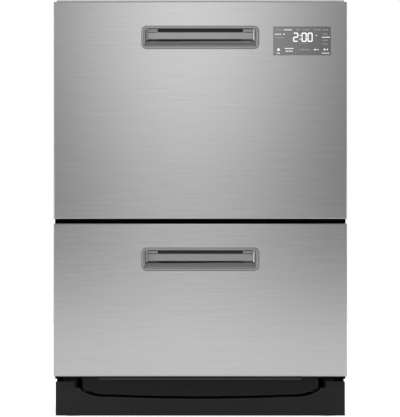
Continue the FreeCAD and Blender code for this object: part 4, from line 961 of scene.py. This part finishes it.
# Spray arms. Two hollow swept blades, each welded from two shells along its edge, and a hub that
# turns on the sump's post.
wash_plastic = surface(
    "polypropylene_glass_filled_blue_grey", "#5B666E", "#69747C", (3, 3, 3), (0.36, 0.5), 0.02, IOR=1.5
)
for drawer, level in levels.items():
    low = level["floor"] + 28.3
    hub = [(bore, low), (20.6, low), (22, low + 1.4), (22, low + 8), (20.4, low + 11.4)]
    hub += [(14, low + 12.6), (10, low + 14), (5.2, low + 14), (bore, low + 13), (bore, low)]
    blades = copy_of(drawer + "_spray_arm", 1.2, 3)
    arm = join([blades, lathe("hub", (0, tub_middle_y, 0), "Z", hub)])
    smooth_curves(arm)
    fit(arm, wash_plastic, drawer + "_spray_arm")


# Racks. Steel wire bent, cross-welded and coated with grey nylon powder. Bends have a generous
# radius, and plastic clips hold the parts that fold.
def bent_wires(name, start, moves, radius=2.0, corner=0.0, copies=()):
    """One round wire along bent legs from a start, and copies of it at further starts."""
    leave_and_deselect()
    bpy.ops.mesh.primitive_plane_add(size=MM, location=Vector(start) * MM)
    piece = bpy.context.object
    piece.name = name
    bpy.ops.object.transform_apply()
    bpy.ops.object.mode_set(mode="EDIT")
    bpy.ops.mesh.select_mode(type="VERT")
    bpy.ops.mesh.select_all(action="SELECT")
    bpy.ops.mesh.merge(type="CENTER")
    for move in moves:
        bpy.ops.mesh.extrude_region_move(TRANSFORM_OT_translate={"value": Vector(move) * MM})
    bpy.ops.mesh.select_all(action="SELECT")
    bpy.ops.mesh.remove_doubles(threshold=0.01 * MM)
    bpy.ops.object.mode_set(mode="OBJECT")
    if corner:
        pick(piece, "VERT", lambda v: len(v.link_edges) == 2)
        bpy.ops.mesh.bevel(offset=corner * MM, segments=5, affect="VERTICES")
    pick(piece, "VERT", lambda v: True)
    for before, place in zip((start, *copies), copies):
        step = (Vector(place) - Vector(before)) * MM
        bpy.ops.mesh.duplicate_move(TRANSFORM_OT_translate={"value": step})
    bpy.ops.object.mode_set(mode="OBJECT")
    bpy.ops.object.convert(target="CURVE")
    piece = bpy.context.object
    piece.data.bevel_depth = radius * MM
    piece.data.bevel_resolution = 2
    piece.data.use_fill_caps = True
    bpy.ops.object.convert(target="MESH")
    return bpy.context.object


coated_wire = surface(
    "steel_wire_nylon_coated", "#8E9498", "#9AA0A4", (2, 2, 2), (0.36, 0.5), 0.03, IOR=1.53
)
clip_plastic = surface(
    "acetal_moulded_pale", "#C9CBC9", "#D3D5D3", (2, 2, 2), (0.36, 0.48), 0.015, IOR=1.48
)
rack_reach = 254
rack_front_y = -183.0
rack_length = 386
wire_end = 1.6
long_x = [rack_reach * (i - 3) / 3 for i in range(7)]
cross_y = [-153 + 326 / 6 * i for i in range(7)]
tine_x = [side * x for side in (-1, 1) for x in (20.29, 60.86, 101.43, 142.0)]
fold_y = (cross_y[2] + cross_y[3]) / 2
for drawer, level in levels.items():
    rack, tall = level["rack"], level["tine"]
    edge = rack + level["side"]
    long_z, cross_z, rod_z = rack + 2, rack + 6, rack + 12.6
    legs = [(rack_reach, 0, 0), (0, rack_length, 0), (-2 * rack_reach, 0, 0)]
    legs += [(0, -rack_length, 0), (rack_reach, 0, 0)]
    wires = [bent_wires("rim", (0, rack_front_y, edge), legs, 2.2, 22)]
    starts = [(x, rack_front_y, edge) for x in long_x[1::2]]
    legs = [(0, 0, long_z - edge), (0, rack_length, 0), (0, 0, edge - long_z)]
    wires.append(bent_wires("long_bent", starts[0], legs, 2, 12, starts[1:]))
    starts = [(x, rack_front_y - wire_end, long_z) for x in long_x[::2]]
    legs = [(0, rack_length + 2 * wire_end, 0)]
    wires.append(bent_wires("long", starts[0], legs, 2, 0, starts[1:]))
    starts = [(-rack_reach, y, edge) for y in cross_y[::2]]
    legs = [(0, 0, cross_z - edge), (2 * rack_reach, 0, 0), (0, 0, edge - cross_z)]
    wires.append(bent_wires("cross_bent", starts[0], legs, 2, 12, starts[1:]))
    starts = [(-rack_reach - wire_end, y, cross_z) for y in cross_y[1::2]]
    legs = [(2 * (rack_reach + wire_end), 0, 0)]
    wires.append(bent_wires("cross", starts[0], legs, 2, 0, starts[1:]))
    starts = [(x, y, cross_z) for y in (cross_y[4], cross_y[6]) for x in tine_x]
    wires.append(bent_wires("tines", starts[0], [(0, 0, tall + 2)], 2, 0, starts[1:]))
    node = drawer + "_base_rack"
    wires = join(wires)
    smooth_curves(wires)
    fit(wires, coated_wire, node)

    clips = []
    for x in long_x[1::2]:
        body = block((x - 3, fold_y - 4.6, rack + 8), (x + 3, fold_y + 4.6, rack + 15.2), 0.6)
        opening = block((x - 5, fold_y - 2.6, rack + 10), (x + 5, fold_y + 2.6, rack + 17), 0.5)
        boolean(body, opening, "DIFFERENCE")
        foot = block((x - 3, fold_y - 4, rack + 3.6), (x + 3, fold_y + 4, rack + 8.4), 0.6)
        clips += [body, foot]
    if drawer == "upper":
        for x in (-rack_reach, rack_reach):
            for y in (-120, 128):
                body = block((x - 4.6, y, edge + 2), (x + 4.6, y + 12, edge + 9.2), 0.6)
                opening = block((x - 2.6, y - 2, edge + 4), (x + 2.6, y + 14, edge + 11), 0.5)
                boolean(body, opening, "DIFFERENCE")
                clips.append(body)
    clips = join(clips)
    smooth_curves(clips)
    clips.name = drawer + "_rack_clips"
    clips.data.materials.append(clip_plastic)
    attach(clips, frame["nodes"][node]["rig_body"])

    rod_reach = 175.3
    rod = bent_wires("rod", (-rod_reach, fold_y, rod_z), [(2 * rod_reach, 0, 0)], 2.3)
    starts = [(x, fold_y, rod_z) for x in tine_x]
    tines = bent_wires("tines", starts[0], [(0, 0, tall + 2.2)], 2, 0, starts[1:])
    row = join([rod, tines])
    smooth_curves(row)
    fit(row, coated_wire, drawer + "_folding_tines")


# Cup shelves and cutlery basket. Thin mouldings with slots for water, clipped on the top wires of
# the upper rack, and a lattice basket with a carrying arch that stands between them.
shelf_plastic = surface(
    "polypropylene_moulded_pale_grey", "#A3A8AB", "#AFB4B7", (3, 3, 3), (0.34, 0.46), 0.02, IOR=1.49
)
for side, x in (("left", -rack_reach), ("right", rack_reach)):
    plate = copy_of("upper_cup_shelf_" + side, 0.8)
    pin = bent_wires("pin", (x, -150, 640.6), [(0, 320, 0)], 2.35)
    shelf = join([plate, pin])
    smooth_curves(shelf)
    fit(shelf, shelf_plastic, "upper_cup_shelf_" + side)

basket_reach = 105
basket = block((-basket_reach, -177, 550), (basket_reach, -111, 662), 0)
pick(basket, "FACE", lambda f: f.calc_center_median().z > 661 * MM)
bpy.ops.mesh.delete(type="FACE")
pick(basket, "EDGE", lambda e: abs(e.verts[0].co.z - e.verts[1].co.z) > 50 * MM)
bpy.ops.mesh.bevel(offset=10 * MM, segments=4, affect="EDGES")
rings_z = (562, 584, 606, 628, 648)
rows_x = range(-90, 91, 15)
rows_y = (-162, -153, -144, -135, -126)
cuts = [((0, 0, z), (0, 0, 1)) for z in rings_z]
cuts += [((x, 0, 0), (1, 0, 0)) for x in rows_x]
cuts += [((0, y, 0), (0, 1, 0)) for y in rows_y]
for place, along in cuts:
    pick(basket, "FACE", lambda f: True)
    bpy.ops.mesh.bisect(plane_co=Vector(place) * MM, plane_no=along)


def basket_opening(face):
    """The panes of the lattice: not the rim, the rounded corners or the foot."""
    centre = face.calc_center_median() / MM
    upright = abs(face.normal.z) < 0.1 and max(abs(face.normal.x), abs(face.normal.y)) > 0.99
    on_side = upright and rings_z[0] < centre.z < rings_z[-1]
    inside = abs(centre.x) < rows_x[-1] and rows_y[0] < centre.y < rows_y[-1]
    return on_side or (face.normal.z < -0.9 and inside)


def rounded_slab(low, high, corner):
    """A slab that faces the front and has its two upper corners rounded."""
    slab = block(low, high, 0)
    top = (high[2] - 1) * MM
    pick(slab, "EDGE", lambda e: e.verts[0].co.z > top and abs(e.verts[0].co.y - e.verts[1].co.y) > MM)
    bpy.ops.mesh.bevel(offset=corner * MM, segments=8, affect="EDGES")
    bpy.ops.object.mode_set(mode="OBJECT")
    return slab


pick(basket, "FACE", basket_opening)
bpy.ops.mesh.inset(thickness=1.5 * MM, use_individual=True)
bpy.ops.mesh.delete(type="FACE")
bpy.ops.object.mode_set(mode="OBJECT")
skin = basket.modifiers.new("skin", "SOLIDIFY")
skin.thickness = 2 * MM
skin.offset = -1
bpy.ops.object.modifier_apply(modifier=skin.name)
round_edges(basket, 0.4, 1, 50)
arch = rounded_slab((-basket_reach, -147, 650), (basket_reach, -141, 688), 24)
boolean(arch, rounded_slab((-98, -150, 640), (98, -138, 682), 18), "DIFFERENCE")
round_edges(arch, 1.2, 2, 50)
basket = join([basket, arch])
smooth_curves(basket)
fit(basket, shelf_plastic, "upper_cutlery_basket")


# Dispensers. A moulding on the tub's front wall holds the detergent cup with its hinged door, and
# the neck that the blue cap of the rinse-aid tank closes with a quarter turn.
cap_plastic = surface(
    "polypropylene_moulded_blue", "#45648A", "#50709A", (2.5, 2.5, 2.5), (0.34, 0.46), 0.02, IOR=1.49
)
cap_x = 49
neck_y = -242.7
cap_profile = [(0, 0), (7.6, 0), (8.2, 0.6), (8.2, 6.4), (13.4, 6.9), (14, 7.5), (14, 8.4), (13.2, 9)]
cap_profile += [(9.6, 9), (9, 8.5), (0, 8.5)]
for drawer, cap_z in (("upper", 755.0), ("lower", 302.4)):
    fit(copy_of(drawer + "_dispenser", 1.0, 3), white_moulding, drawer + "_dispenser")
    fit(copy_of(drawer + "_dispenser_door", 0.5), shelf_plastic, drawer + "_dispenser_door")
    cap = lathe("cap", (cap_x, neck_y, cap_z), "Y", cap_profile)
    low, high = (cap_x - 11, neck_y + 8, cap_z - 2), (cap_x + 11, neck_y + 13.9, cap_z + 2)
    cap = join([cap, block(low, high, 1.2, 3)])
    smooth_curves(cap)
    fit(cap, cap_plastic, drawer + "_rinse_cap")


# Water and power fittings. An inlet valve with a threaded spigot, a ribbed drain spigot and a cord
# gland, fastened through the wall of the pocket in the back.
valve_x, drain_x, cord_x = 124, 170, 209
fitting_z = 80
thread = [(8.2, 252), (12.4, 252), (13.2, 253.5)]
for turn in range(4):
    low = 256 + turn * 2.6
    thread += [(13.2, low), (12.2, low + 0.9), (12.2, low + 1.7)]
thread += [(13.2, 266.6), (12.4, 267.5), (8.9, 267.5), (8.2, 266.8), (8.2, 252)]
coil = [(0, 94), (8.4, 94), (9, 94.6), (9, 113.4), (8.4, 114), (0, 114)]
valve = [copy_of("inlet_valve", 1.0), lathe("spigot", (valve_x, 0, fitting_z), "Y", thread, 40)]
valve = join(valve + [lathe("coil", (valve_x, 240.5, 0), "Z", coil, 32)])
smooth_curves(valve)
fit(valve, white_moulding, "inlet_valve")

barbs = [(7.5, 251.8), (10, 251.8), (10.5, 252.4), (10.5, 262)]
for low in (262, 267, 272):
    barbs += [(10.5, low), (9.7, low + 0.3), (10.5, low + 4.4)]
barbs += [(9.8, 277.5), (8, 277.5), (7.5, 277), (7.5, 251.8)]
tube = lathe("tube", (drain_x, 0, fitting_z), "Y", barbs, 40)
spigot = join([copy_of("drain_spigot", 1.0), tube])
smooth_curves(spigot)
fit(spigot, motor_housing, "drain_spigot")

nose = [(4.2, 251.5), (8.25, 251.5), (8.25, 267.6), (7.4, 269), (6.2, 269.5), (4.8, 269.5)]
nose += [(4.2, 268.9), (4.2, 251.5)]
nose = lathe("nose", (cord_x, 0, fitting_z), "Y", nose, 40)
nut = hexagon((cord_x, 251.5, fitting_z), 10.9, 7, "Y", 1.2, 0.3)
gland = join([copy_of("cord_gland", 0.5), nose, nut])
smooth_curves(gland)
fit(gland, glass_nylon, "cord_gland")
